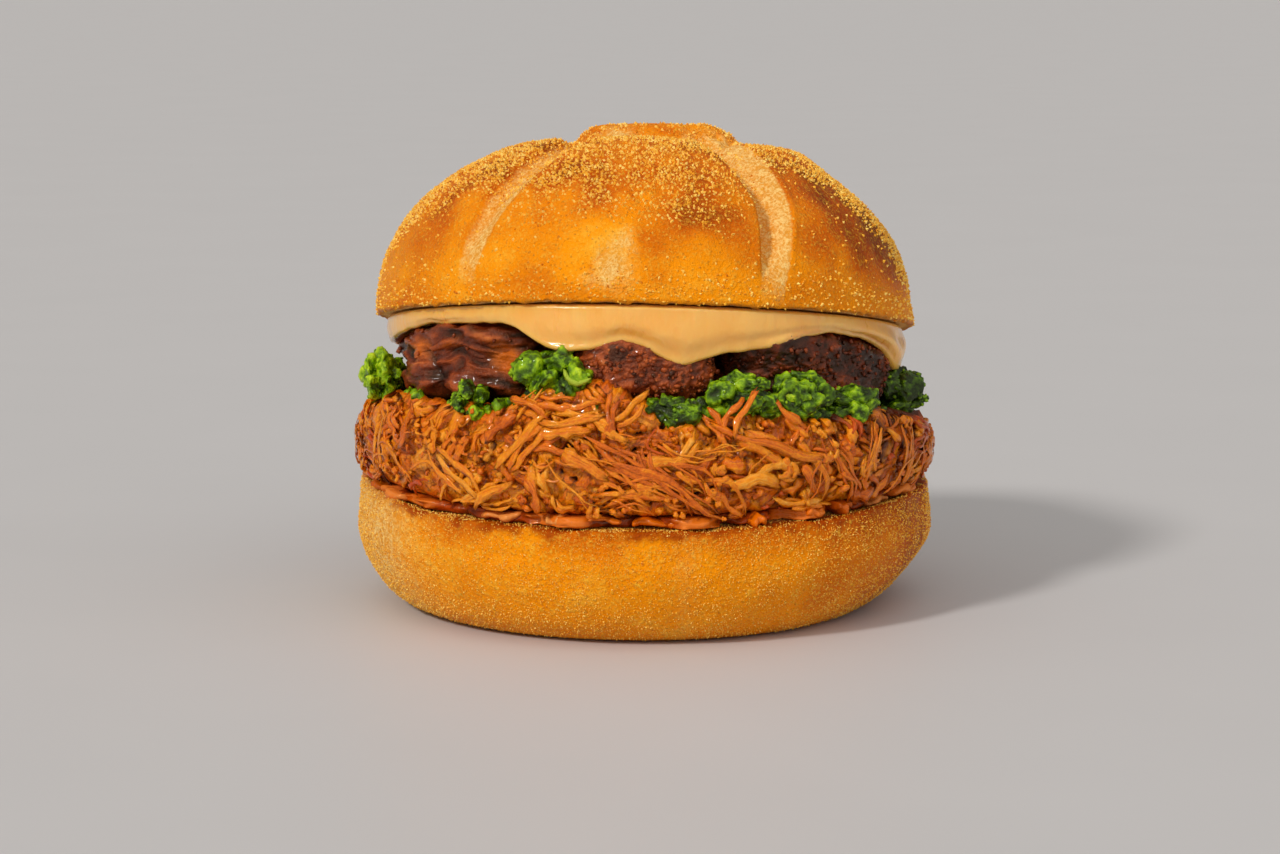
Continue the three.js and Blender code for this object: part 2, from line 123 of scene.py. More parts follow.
# Browned pieces: azimuth, half the angle, middle radius, half the depth, lumpiness, turn of the
# lumps. The front three run up to 2.5 degrees further round than their solids.
BROWNED = {
    "left": (-51.6, 28.6, 29, 22, 0.07, 0.4),
    "middle": (0.3, 17.2, 29, 21.5, 0.06, 1.7),
    "right": (46.7, 29.8, 29.5, 21.5, 0.07, 2.9),
    "back_right": (113.5, 31.5, 30, 21, 0.07, 4.1),
    "back": (176, 27, 30, 21, 0.07, 5.3),
    "back_left": (-120, 34.5, 30, 21, 0.07, 6.5),
}
BROWNED_FRONT = ("left", "middle", "right")
BROWNED_FOLDED = ("left", "back_right")  # the others are crumbly
PLAN_BOXY = 4  # superellipsoid exponents of the browned pieces, seen from above
SIDE_BOXY = 4.5  # and from the side, where they are squarer than their solids

GREENS = Sizes(
    radius=50, thick=1.5,
    # humps of paler leaves, and of darker ones where the size is below 0
    lightness=((-77, 0.9, 12), (6.5, -0.7, 7), (24, 0.35, 9), (74, -0.9, 14)),
    # azimuth, radius, height, then half the width, depth and height of each clump; the one at -77
    # stands 1.2 mm further out than in the solid, and the one at -20 is 0.4 mm wider each way
    clumps=(
        (-77, 52.8, 45.5, 6.6, 4.6, 5.6), (-39, 51.8, 45, 5.6, 3.6, 3.6),
        (-20, 49.8, 50.4, 9.6, 4.2, 5), (6.5, 51.8, 44.5, 7.4, 2.8, 2.4),
        (20, 51.6, 47, 6, 3.6, 4.6), (33, 51.8, 45.6, 6.4, 4, 5.2),
        (48, 51.8, 43.2, 7, 3.8, 3.8), (74, 52, 43, 5.4, 4.2, 4.8),
        (96, 51, 40, 7, 4, 3.6), (138, 50.6, 38.5, 7.4, 4, 5),
        (158, 51, 36.4, 6, 3.6, 3), (-162, 50.6, 38, 7.6, 4, 4.6),
        (-124, 51, 38.4, 8, 3.8, 3.2), (-96, 51.2, 41, 5.6, 4, 4.2),
    ),
)

SAUCE = Sizes(
    radius=51, sheet=1.4,
    meat_from=46,  # filling that lies further in than this isn't met
    meat_reach=56,  # radius to which the sauce follows the filling
    drip=((73, 2.4, 8),),  # hump by which the drip at the right stands further out
    # azimuth, and how far below the upper half the sauce reaches there, finer than in the solid
    edge=(
        (-170, 3.2), (-155, 3), (-148, 6.2), (-142, 7.8), (-135, 5.5), (-125, 3.2), (-105, 3.4),
        (-90, 4.7), (-75, 4), (-54, 2.4), (-32, 2.8), (-27, 4.2), (-21, 7.5), (-15, 8.3), (-10, 7.7),
        (-5, 6), (0, 6.8), (4, 9.3), (8, 10.8), (12, 10), (15, 7.6), (24, 7.2), (34, 4.3), (45, 2.9),
        (59, 3.3), (67, 4.8), (73, 9.9), (78, 6), (86, 3.2), (110, 3), (118, 5), (124, 6.2), (131, 4.4),
        (140, 3), (160, 3.4), (168, 6), (173, 7), (180, 5),
    ),
)

# ---------------------------------------------------------------- finer forms of the same pieces

CRUST = Sizes(
    # climbs at which a groove's azimuths and half widths are given, then each groove's azimuths,
    # half widths, depth, and the climb where it begins
    groove_climbs=(0.05, 0.33, 0.62),
    grooves=(
        ((-39.3, -37, -32), (2.1, 3.7, 4.4), 1.8, 0.07),
        ((26.3, 31, 31.5), (2.6, 3.6, 4.8), 3.8, 0.03),
        ((101, 104, 108), (2.4, 4.4, 6), 3.8, 0.1),
        ((174, 180, 184), (2.2, 4.6, 6.4), 4.2, 0.06),
        ((-108, -106, -104), (2, 3.6, 5), 3.4, 0.12),
    ),
    pillow=1.5,  # how far each lobe swells between its grooves
    # (azimuth, climb) above which the semolina lies thick, since the dough was dipped in it
    seeded_from=(
        (-180, 0.3), (-150, 0.2), (-110, 0.12), (-82, 0.1), (-62, 0.28), (-44, 0.42), (-32, 0.34),
        (-24, 0.29), (-10, 0.26), (8, 0.26), (16, 0.3), (23, 0.36), (34, 0.52), (44, 0.6), (58, 0.36),
        (72, 0.16), (90, 0.04), (120, 0.2), (150, 0.34),
    ),
    # pale smooth places, then browner ones: azimuth, climb, half width, half height, strength
    smooth_spots=((-6, 0.1, 4.6, 0.075, 1), (140, 0.2, 10, 0.08, 1), (-150, 0.12, 6, 0.06, 1)),
    browner=(
        (15, 0.22, 12, 0.11, 0.22), (52, 0.25, 16, 0.25, 0.64), (-52, 0.36, 12, 0.14, 0.16),
        (-6, 0.42, 14, 0.1, 0.14), (135, 0.3, 16, 0.16, 0.25), (-140, 0.34, 18, 0.18, 0.25),
    ),
    # humps of the torn ring round the button that stayed pale
    torn_pale=((-24, 0.9, 13), (30, 1, 14), (100, 0.6, 24), (180, 0.8, 30), (-110, 0.7, 24)),
    crack=(-12, -8.5, 0.02, 0.15),  # azimuths at its foot and head, climbs at its foot and head
    button_dish=1.0,  # how much lower the button's middle is than its edge
    # rows of the cut face at its rim: how far in from the dome's radius, height, and how ragged
    cut_rim=((9, 0.2, 0.1), (3.2, 0.2, 0.3), (1, 0.08, 0.6), (0.4, 0.05, 1), (0.1, 0.2, 1)),
    torn_ends=(22, 25),  # radii between which the torn ring round the button ends
    # humps of deeper browning on the upper half, and on the lower one, whose left end is paler, partly as its
    # own paler crust and partly as painted light that falls on that end
    upper_toast=((74, 0.18, 34), (-60, 0.1, 26), (150, 0.2, 40)),
    lower_toast=((82, 0.8, 44), (-90, -0.5, 30), (150, 0.1, 40)),
    # The flour hump at the left end is partly painted light that falls on that end.
    lower_flour=((-86, 1.35, 30), (8, 0.25, 4), (40, 0.12, 8)),  # humps of flour on the lower half
    drawn_in=((68, 0.045, 34),),  # humps by which the lower half is narrower towards its foot
    # humps of sauce that soaked into the lower half's rim
    stained=(
        (-48, 0.5, 16), (-22, 0.55, 12), (3, 0.45, 12), (34, 0.6, 20), (70, 0.6, 24), (130, 0.6, 26),
        (-170, 0.5, 24), (-120, 0.55, 26),
    ),
    grain_sunk=0.12,  # how deep a grain's foot lies in the crust
    grains_from=0.6,  # height above the floor below which no grain sticks
)

# Bundles that stand out in the heap: azimuth, height, lean, length, half width, strands
BUNDLES = (
    (2, 31, -35, 27, 0.5, 5), (8, 30, -34, 22, 0.45, 4), (-4, 32.5, -30, 20, 0.45, 4),
    (26, 37, -24, 18, 1.3, 3), (17, 42.6, 60, 10, 0.9, 2), (14.5, 40.6, 122, 9, 0.8, 2),
    (-6.5, 43, 84, 8, 0.55, 3), (-23, 38, 50, 15, 0.6, 3), (-14, 36, -28, 15, 1.1, 2),
    (-30, 29, 32, 13, 0.9, 2), (-21, 30, -84, 9, 1.1, 2), (40, 33, -52, 15, 0.5, 4),
    (34, 30, -62, 13, 0.8, 2), (49, 36, 70, 12, 0.5, 4), (-64, 33, 74, 11, 0.9, 2),
    (-52, 40, 72, 10, 0.9, 2), (14, 29, -48, 11, 0.55, 3), (22, 32, 8, 12, 1.2, 2),
    (-3, 29, 10, 14, 0.6, 3), (62, 32, 84, 12, 0.5, 4), (-40, 33, -40, 13, 0.7, 3),
    (5, 38, 20, 13, 1.0, 2), (-16, 42.3, 4, 12, 0.9, 2), (31, 41, -40, 10, 0.8, 2),
    (-12, 45.4, 12, 9, 0.8, 2), (-21, 44.3, -24, 9, 0.7, 3), (-3, 45.2, 46, 8, 0.7, 2),
    (-27, 42.6, 30, 8, 0.8, 2), (-8, 43.4, -38, 9, 0.6, 3), (-17, 46.4, -6, 8, 0.6, 2),
)

# Kinds of strand: how often each comes, then how many lie together, half widths, lengths, ridges,
# how far their lean strays together and one from another, and lifts
STRAND_KINDS = (
    (0.2, (3, 6), (0.4, 0.7), (6, 14), 2, 14, 7, (0.0, 1.4)),
    (0.2, (1, 3), (1.1, 1.8), (4, 9), 5, 30, 20, (-0.4, 0.9)),
    (0.26, (2, 5), (0.6, 1.1), (2.6, 6.5), 3, 55, 30, (0.0, 1.4)),
    (0.18, (4, 8), (0.5, 0.95), (1.2, 2.6), 3, 90, 60, (0.1, 1.6)),
    (0.16, (1, 4), (0.24, 0.38), (7, 15), 2, 34, 10, (1.1, 2.2)),
)

# Layers of the heap's matted side: size, width as a share of it, and salt of large chunks, of
# small ones and of shreds
CHUNK_KINDS = ((4.6, 0.3, 411), (2.7, 0.34, 431), (3.4, 0.13, 451))
SHREDS_RAISED = 0.35  # how far the shreds lie over the chunks

# Azimuths of the small clumps between the greens' larger ones
SMALL_CLUMPS = (
    -66, -58, -33, -29, -9, 13, 27, 41, 56, 63, 84, 108, 121, 148, 169, 180, -172, -149, -137, -111, -86,
)

# Stems among the greens: azimuth, radius, height, lean, length, half width, sideways bend
STEMS = (
    (-13.5, 53.6, 51.4, -16, 5.5, 0.6, -1.6), (142, 54, 39.5, -30, 6, 0.55, 1.2),
)

# Where the left browned piece shows orange flesh, and the others a little of it: azimuth, height,
# half width, half height, strength
FLESH = (
    (-33, 52.6, 5, 3, 1), (-57, 53, 6, 3, 0.75), (-46, 54.5, 4, 2, 0.5), (-38, 57, 7, 1.2, 0.4),
    (-12, 57, 5, 1.8, 0.45), (2, 56, 5, 1.6, 0.4), (10, 52.5, 4, 1.6, 0.35), (50, 55, 6, 2, 0.12),
)

# How much darker than usual each browned piece is
DARKNESS = {"left": 0.1, "middle": -0.15, "right": 0.42, "back_right": 0.3, "back": 0.4, "back_left": 0.2}

FRONT_GRID = (130, 110)  # rows and columns of corners on a browned piece of the front
BACK_GRID = (80, 56)  # and of the back

# Where each group's random draws start
SEEDS = {"upper": 11, "lower": 12, "onion": 13, "strands": 14, "greens": 15, "browned": 16}

# Lights of the stage: the direction that each comes from, and its width in degrees
LIGHTS = {
    "key": ((-0.55, -0.62, 0.6), 8),
    "top": ((-0.1, -0.25, 0.9), 110),
    "fill": ((0.55, -0.8, 0.22), 110),
}
FLOOR_RADIUS = 14  # metres, past what the camera sees
AIM = (-0.001, 0, 0.0338)  # the point that the camera looks at, in metres

# ---------------------------------------------------------------- numbers and places

GOLDEN_TURN = (math.sqrt(5) - 1) / 2
SECOND_TURN = 0.7548776662  # spreads a second number evenly beside the first

# Large odd numbers and shifts that scramble a cell's place
AXIS_FACTORS = (73856093, 19349663, 83492791)
SALT_FACTOR = 2654435761
SCRAMBLES = ((15, 739982445), (12, 695872825))
LARGEST = 0xFFFFFFFF


def mix(low, high, share):
    return low + (high - low) * share


def smoothstep(value, low, high):
    share = np.clip((value - low) / (high - low), 0, 1)
    return share * share * (3 - 2 * share)


def turn_between(a, b):
    return (a - b + 180) % 360 - 180


def azimuth_of(x, y):
    return np.degrees(np.arctan2(x, -y))


def around(azimuth, radius, height):
    """Points at an azimuth, a radius and a height."""
    angle = np.radians(azimuth)
    parts = np.broadcast_arrays(radius * np.sin(angle), -radius * np.cos(angle), height)
    return np.stack(parts, axis=-1).astype(float)


def humps(azimuth, listed):
    """Sum of swellings, each (azimuth, size, width)."""
    return sum(size * np.exp(-(turn_between(azimuth, at) / wide) ** 2) for at, size, wide in listed)


def patches_at(azimuth, level, listed):
    """Sum of soft patches, each (azimuth, level, half width, half height, strength)."""
    return sum(
        strength * np.exp(-(turn_between(azimuth, at) / wide) ** 2 - ((level - up) / tall) ** 2)
        for at, up, wide, tall, strength in listed
    )


def uneven(x, y, z, shift=0.0):
    """The smooth uneven field that the solids have, between about -1 and 1."""
    a = np.sin(x * 1.31 + y * 0.67 - z * 0.43 + shift)
    b = np.sin(y * 1.13 - x * 0.57 + z * 0.89 + shift * 2.3 + 1.1)
    c = np.sin(z * 1.37 + x * 0.41 + y * 0.31 + shift * 3.1 + 2.7)
    return (a + b + c) / 2.2


def hashed(cells, salt):
    """Repeatable draws between 0 and 1 for whole-numbered cells."""
    x, y, z = (cells[..., axis] * factor for axis, factor in enumerate(AXIS_FACTORS))
    key = (x ^ y ^ z ^ salt * SALT_FACTOR) & LARGEST
    for shift, factor in SCRAMBLES:
        key = ((key ^ (key >> shift)) * factor) & LARGEST
    return (key ^ (key >> 15)) / LARGEST


def noise(points, size, salt=0, octaves=1):
    """Smooth noise between about -1 and 1, with features of the given size."""
    total = 0
    strength = 1
    for octave in range(octaves):
        scaled = points * 2 ** octave / size
        base = np.floor(scaled).astype(np.int64)
        share = scaled - base
        share = share * share * share * (share * (share * 6 - 15) + 10)
        value = 0
        for corner in np.ndindex(2, 2, 2):
            weight = np.where(corner, share, 1 - share).prod(axis=-1)
            value = value + weight * hashed(base + corner, salt + octave)
        total = total + strength * (2 * value - 1)
        strength = strength / 2
    return total


def noise_vectors(points, size, salt, octaves=1):
    """Three noises beside each other, to push points about."""
    return np.stack([noise(points, size, salt + axis, octaves) for axis in range(3)], axis=-1)


def nearest_cells(points, size, salt):
    """Distances, in cell sizes, to the nearest and the next nearest of scattered points."""
    scaled = points / size
    base = np.floor(scaled).astype(np.int64)
    first = np.full(points.shape[:-1], 9.0)
    second = first.copy()
    for offset in np.ndindex(3, 3, 3):
        cell = base + np.array(offset) - 1
        jitter = np.stack([hashed(cell, salt + axis) for axis in range(3)], axis=-1)
        distance = np.linalg.norm(cell + jitter - scaled, axis=-1)
        second = np.where(distance < first, first, np.minimum(second, distance))
        first = np.minimum(first, distance)
    return first, second


# ---------------------------------------------------------------- the planes between layers

def turned_about(axis, degrees):
    """Rotation matrix about the X (0) or the Y (1) axis."""
    cos, sin = math.cos(math.radians(degrees)), math.sin(math.radians(degrees))
    if axis == 0:
        return np.array([[1, 0, 0], [0, cos, -sin], [0, sin, cos]])
    return np.array([[cos, 0, sin], [0, 1, 0], [-sin, 0, cos]])


UPPER_TURN = turned_about(0, -UPPER.lean_back) @ turned_about(1, UPPER.lean_right)
UPPER_NORMAL = UPPER_TURN[:, 2]


def cut_face(x, y):
    return LOWER.cut_height + LOWER.cut_slope * y + 0 * x


def lip_rise(x, y):
    """How far the lower half's crust stands up over its cut face along the rim."""
    inner = LOWER.rim_radius - LOWER.lip_width
    share = smoothstep(np.hypot(x, y), inner, LOWER.rim_radius - LOWER.rim_round)
    return humps(azimuth_of(x, y), LOWER.lip_waves) * share


def heap_foot(x, y):
    return cut_face(x, y) + ONION.thick + 2 * CLEAR


def heap_top(x, y):
    return HEAP.top_height + HEAP.top_slope_x * x + HEAP.top_slope_y * y


def upper_face(x, y):
    return UPPER.cut_height - (UPPER_NORMAL[0] * x + UPPER_NORMAL[1] * y) / UPPER_NORMAL[2]


# ---------------------------------------------------------------- meshes

def closed_shape(rings, masks):
    """Stacked rings (..., rows, columns, 3) with both ends closed: corners, triangles that face out,
    and each mask as a value a corner."""
    *shapes, rows, columns, _ = rings.shape
    middles = rings[..., [0, -1], :, :].mean(axis=-2)
    corners = np.concatenate([rings.reshape(*shapes, -1, 3), middles], axis=-2)
    index = np.arange(rows * columns).reshape(rows, columns)
    ahead = np.roll(index, -1, axis=1)
    low, high, low_ahead, high_ahead = index[:-1], index[1:], ahead[:-1], ahead[1:]
    sides = [np.stack([low, low_ahead, high_ahead], -1), np.stack([low, high_ahead, high], -1)]
    first = np.full(columns, rows * columns)
    ends = [np.stack([first, ahead[0], index[0]], -1), np.stack([first + 1, index[-1], ahead[-1]], -1)]
    faces = np.concatenate([part.reshape(-1, 3) for part in sides + ends])
    full = {}
    for name, values in masks.items():
        flat = np.broadcast_to(values, (*shapes, rows, columns)).reshape(*shapes, -1)
        full[name] = np.concatenate([flat, flat[..., :1], flat[..., -1:]], axis=-1)
    one = corners.reshape(-1, rows * columns + 2, 3)[0]
    return corners, facing_out(one, faces), full


def stacked(corners, faces):
    """One mesh of many shapes (shapes, corners, 3) that share one list of faces."""
    count, each = corners.shape[:2]
    moved = faces[None] + (np.arange(count) * each)[:, None, None]
    return corners.reshape(-1, 3), moved.reshape(-1, faces.shape[1])


def joined(parts):
    """One mesh of several (corners, faces, masks), where masks maps names to values a corner."""
    corners, faces = [], []
    masks = {name: [] for _, _, given in parts for name in given}
    start = 0
    for part_corners, part_faces, given in parts:
        corners.append(part_corners)
        faces.append(part_faces + start)
        for name, values in masks.items():
            values.append(np.broadcast_to(given.get(name, 0.0), len(part_corners)))
        start += len(part_corners)
    return np.concatenate(corners), np.concatenate(faces), {n: np.concatenate(v) for n, v in masks.items()}


def face_normals(corners, faces):
    """Unscaled normals: their length is twice the triangle's area."""
    a, b, c = (corners[faces[:, k]] for k in range(3))
    return np.cross(b - a, c - a)


def corner_normals(corners, faces):
    normals = np.zeros_like(corners)
    flat = face_normals(corners, faces)
    for k in range(3):
        np.add.at(normals, faces[:, k], flat)
    return normals / np.maximum(np.linalg.norm(normals, axis=1, keepdims=True), 1e-9)


def facing_out(corners, faces):
    """The faces, turned round where they point into the shape."""
    volume = (corners[faces[:, 0]] * face_normals(corners, faces)).sum()
    return faces if volume > 0 else faces[:, ::-1]


def ball(divisions):
    """Corners and triangles of a unit ball with even triangles."""
    shape = bmesh.new()
    bmesh.ops.create_icosphere(shape, subdivisions=divisions, radius=1)
    corners = np.array([vertex.co[:] for vertex in shape.verts])
    faces = np.array([[vertex.index for vertex in face.verts] for face in shape.faces])
    shape.free()
    return corners, faces


def scattered(corners, faces, density, count, draw):
    """Random points on a mesh, and the normals there."""
    normals = face_normals(corners, faces)
    area = np.linalg.norm(normals, axis=1)
    weight = area * density[faces].mean(axis=1)
    chosen = draw.choice(len(faces), count, p=weight / weight.sum())
    a, b = np.sqrt(draw.random(count)), draw.random(count)
    shares = np.stack([1 - a, a * (1 - b), a * b], axis=-1)
    points = (corners[faces[chosen]] * shares[..., None]).sum(axis=1)
    return points, normals[chosen] / np.maximum(area[chosen, None], 1e-9)


def mesh_in_millimetres(name):
    """Corners and triangles of a piece that was made before."""
    mesh = bpy.data.objects[name].data
    corners = np.empty(len(mesh.vertices) * 3, np.float32)
    mesh.vertices.foreach_get("co", corners)
    faces = np.empty(len(mesh.loops), np.int32)
    mesh.loops.foreach_get("vertex_index", faces)
    return corners.reshape(-1, 3) / MM, faces.reshape(-1, 3), {}


def loose_bits(points, normals, sizes, raised, stretches, lumps, draw):
    """A lumpy little ball at each point: corners, triangles, and how much each corner faces out.

    The lumps are given as their share of the size, their own size, how far apart two balls are in
    the noise, and its salt.
    """
    directions, triangles = ball(1)
    rough, lump_size, apart, salt = lumps
    for i, (point, normal) in enumerate(zip(points, normals)):
        size = draw.uniform(*sizes)
        wobble = 1 + rough * noise(directions * 2 + i * apart, lump_size, salt)[:, None]
        middle = point + normal * size * raised
        corners = middle + directions * wobble * size * draw.uniform(*stretches, 3)
        yield corners, triangles, directions @ normal


def piece(name, finish, shape, replaced=(), smooth=True):
    """A piece of the roll from millimetre corners, triangles and masks, riding on its body."""
    corners, faces, masks = shape
    mesh = bpy.data.meshes.new(name)
    mesh.vertices.add(len(corners))
    mesh.vertices.foreach_set("co", (corners * MM).astype(np.float32).ravel())
    mesh.loops.add(faces.size)
    mesh.loops.foreach_set("vertex_index", faces.astype(np.int32).ravel())
    mesh.polygons.add(len(faces))
    mesh.polygons.foreach_set("loop_start", np.arange(0, faces.size, 3, dtype=np.int32))
    mesh.polygons.foreach_set("use_smooth", np.full(len(faces), smooth))
    for mask, values in masks.items():
        stored = mesh.attributes.new(mask, "FLOAT", "POINT")
        stored.data.foreach_set("value", np.asarray(values, np.float32))
    mesh.update(calc_edges=True)
    if mesh.validate():
        raise RuntimeError(f"{name} has faces that make no surface")
    mesh.materials.append(finish.material)
    made = bpy.data.objects.new(name, mesh)
    bpy.context.scene.collection.objects.link(made)
    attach(made, "root")
    if replaced:
        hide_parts(*replaced)
    return made


# ---------------------------------------------------------------- finishes

def tint(red, green, blue):
    """A colour given as it looks on a screen, 0 to 255, as a shader wants it."""
    shares = (red / 255, green / 255, blue / 255)
    return tuple(s / 12.92 if s <= 0.04045 else ((s + 0.055) / 1.055) ** 2.4 for s in shares)


class Value:
    """A socket of a finish, so that shader maths on numbers reads as Python."""

    def __init__(self, finish, socket):
        self.finish = finish
        self.socket = socket

    def maths(self, operation, *values):
        return self.finish.node("ShaderNodeMath", {"operation": operation}, dict(enumerate(values)))

    def __add__(self, other):
        return self.maths("ADD", self, other)

    def __sub__(self, other):
        return self.maths("SUBTRACT", self, other)

    def __rsub__(self, other):
        return self.maths("SUBTRACT", other, self)

    def __mul__(self, other):
        return self.maths("MULTIPLY", self, other)

    def __truediv__(self, other):
        return self.maths("DIVIDE", self, other)

    def __rtruediv__(self, other):
        return self.maths("DIVIDE", other, self)

    __radd__ = __add__
    __rmul__ = __mul__

    def between(self, low, high):
        """0 at low and 1 at high, with soft ends."""
        settings = {"interpolation_type": "SMOOTHSTEP"}
        return self.finish.node("ShaderNodeMapRange", settings, {0: self, 1: low, 2: high})


class Finish:
    """A procedural material on one Principled shader."""

    def __init__(self, name):
        self.material = bpy.data.materials.new(name)
        self.material.use_nodes = True
        self.tree = self.material.node_tree
        self.tree.nodes.clear()
        self.shader = self.tree.nodes.new("ShaderNodeBsdfPrincipled")
        end = self.tree.nodes.new("ShaderNodeOutputMaterial")
        self.tree.links.new(self.shader.outputs[0], end.inputs["Surface"])
        place = self.node("ShaderNodeTexCoord", output="Object")
        self.place = self.node("ShaderNodeVectorMath", {"operation": "SCALE"}, {0: place, "Scale": 1 / MM})

    def feed(self, socket, value):
        if isinstance(value, Value):
            self.tree.links.new(value.socket, socket)
        elif socket.type == "RGBA":
            socket.default_value = (*value[:3], 1)
        else:
            socket.default_value = value

    def node(self, kind, settings=None, sockets=None, output=0):
        """Adds a node: its settings first, then its sockets' values or links."""
        made = self.tree.nodes.new(kind)
        for setting, value in (settings or {}).items():
            if setting == "stops":
                self.set_stops(made.color_ramp, value)
            else:
                setattr(made, setting, value)
        for socket, value in (sockets or {}).items():
            self.feed(made.inputs[socket], value)
        return Value(self, made.outputs[output])

    @staticmethod
    def set_stops(ramp, stops):
        while len(ramp.elements) < len(stops):
            ramp.elements.new(1)
        for element, (position, colour) in zip(ramp.elements, stops):
            element.position = position
            element.color = (*colour[:3], 1)

    def surface(self, **sockets):
        """Sets the shader's sockets, whose names are written with _ for each space."""
        for name, value in sockets.items():
            self.feed(self.shader.inputs[name.replace("_", " ")], value)

    def mask(self, name):
        return self.node("ShaderNodeAttribute", {"attribute_name": name}, output="Fac")

    def stretched(self, along, across, other):
        """The place, with lengths in millimetres that count as 1 along X, Y and Z."""
        scale = (1 / along, 1 / across, 1 / other)
        return self.node("ShaderNodeVectorMath", {"operation": "MULTIPLY"}, {0: self.place, 1: scale})

    def speckle(self, size, detail=3, rough=0.55, place=None, warp=0.0):
        """Noise between 0 and 1 with features of a size in millimetres."""
        sockets = {"Vector": place or self.place, "Scale": 1 / size, "Detail": detail,
                   "Roughness": rough, "Distortion": warp}
        return self.node("ShaderNodeTexNoise", {}, sockets)

    def cells(self, size):
        """Distance to the nearest of scattered points that lie about a size in millimetres apart."""
        return self.node("ShaderNodeTexVoronoi", {}, {"Vector": self.place, "Scale": 1 / size})

    def blend(self, share, low, high, how="MIX"):
        settings = {"data_type": "RGBA", "blend_type": how}
        return self.node("ShaderNodeMix", settings, {0: share, 6: low, 7: high}, output=2)

    def ramp(self, value, stops):
        return self.node("ShaderNodeValToRGB", {"stops": stops}, {0: value})

    def relief(self, height, depth, under=None):
        """A bump of the given depth in millimetres, laid over the one under it."""
        sockets = {"Height": height, "Distance": depth * MM, "Strength": 1.0}
        if under is not None:
            sockets["Normal"] = under
        return self.node("ShaderNodeBump", {}, sockets)


# ---------------------------------------------------------------- bread

def bread_finish(name, roll, coarse):
    """Baked crust: toast, flour, stain, crumb and rim masks over golden dough, grainy to the depth
    coarse in millimetres."""
    finish = Finish(name)
    patches = finish.speckle(13, detail=3)
    mottling = finish.speckle(2.2, detail=5, rough=0.66)
    grain = finish.speckle(0.22 + 0.8 * coarse, detail=3, rough=0.65)
    pores = finish.cells(0.85)
    toast = (finish.mask("toast") + patches * 0.4 + mottling * 0.7 + grain * 0.5 - 0.8).between(0, 1)
    colour = finish.blend(toast, roll.golden, roll.toasted)
    deep = (finish.mask("toast") + mottling * 0.5 - 0.62).between(0.3, 0.95)
    colour = finish.blend(deep, colour, roll.dark_toast)
    blush = (patches * 0.6 + mottling * 0.5 - finish.mask("toast") * 0.5).between(0.46, 0.72) * 0.4
    colour = finish.blend(blush, colour, roll.pale_crust)
    specks = (grain * 0.7 + mottling * 0.3).between(0.46, 0.7) * (0.2 + coarse)
    colour = finish.blend(specks, colour, roll.pale_crust)
    # Painted shade: dark pits among the grain stand for the shade inside small pores.
    pits = (1 - pores.between(0.1, 0.45)) * grain.between(0.42, 0.6) * 0.42
    colour = finish.blend(pits, colour, roll.dark_toast)
    flour = (finish.mask("flour") * (0.62 + mottling * 0.6)).between(0.08, 0.8)
    floury = finish.blend((grain * 0.6 + mottling * 0.4).between(0.4, 0.64), roll.floury_shade, roll.floury)
    colour = finish.blend(flour, colour, floury)
    stain = (finish.mask("stain") * (0.4 + mottling * 1.2)).between(0.15, 0.85)
    colour = finish.blend(stain, colour, roll.sauce_stain)
    colour = finish.blend(finish.mask("crumb"), colour, roll.crumb)
    rim = (finish.mask("rim") * (0.35 + mottling * 1.3)).between(0.2, 0.75)
    colour = finish.blend(rim, colour, roll.burnt_rim)
    soft = finish.relief(mottling, 0.36)
    fine = finish.relief(grain, coarse, under=soft)
    rough = 0.36 + finish.mask("flour") * 0.35 + finish.mask("crumb") * 0.4 + grain * 0.2 - stain * 0.12
    finish.surface(Base_Color=colour, Roughness=rough, Normal=fine)
    finish.surface(Specular_IOR_Level=0.2, Specular_Tint=(1, 0.66, 0.24, 1))
    return finish


def semolina_finish(roll):
    finish = Finish("semolina")
    shade = finish.mask("tint")
    stops = [(0.0, roll.semolina_toasted), (0.45, roll.semolina), (1.0, roll.semolina_pale)]
    colour = finish.ramp(shade, stops)
    finish.surface(Base_Color=colour, Roughness=0.35 + shade * 0.2)
    finish.surface(Specular_IOR_Level=0.4, Specular_Tint=(1, 0.8, 0.45, 1))
    return finish


def semolina_grains(points, normals, size, sides, draw):
    """Sharp little grains that stand out of a surface, with each one's tint."""
    count = len(points)
    along = np.cross(normals, draw.normal(size=(count, 3)))
    along /= np.linalg.norm(along, axis=1, keepdims=True)
    across = np.cross(normals, along)
    length = (size * draw.uniform(0.7, 1.35, count))[:, None]
    width = length * draw.uniform(0.5, 0.85, (count, 1))
    height = length * draw.uniform(0.55, 1.0, (count, 1))
    lean = along * draw.uniform(-0.5, 0.5, (count, 1))
    lean = (lean + across * draw.uniform(-0.5, 0.5, (count, 1))) * width
    foot = points - normals * CRUST.grain_sunk
    corners = []
    for turn in np.arange(sides) * 2 * math.pi / sides:
        reach = draw.uniform(0.75, 1.05, (count, 1))
        corners.append(foot + (along * length * math.cos(turn) + across * width * math.sin(turn)) * reach)
    corners.append(points + normals * height + lean)
    faces = np.array([(k, (k + 1) % sides, sides) for k in range(sides)])
    corners, faces = stacked(np.stack(corners, axis=1), faces)
    tints = np.repeat(np.clip(draw.normal(0.5, 0.26, count), 0, 1), sides + 1)
    return corners, faces, {"tint": tints}


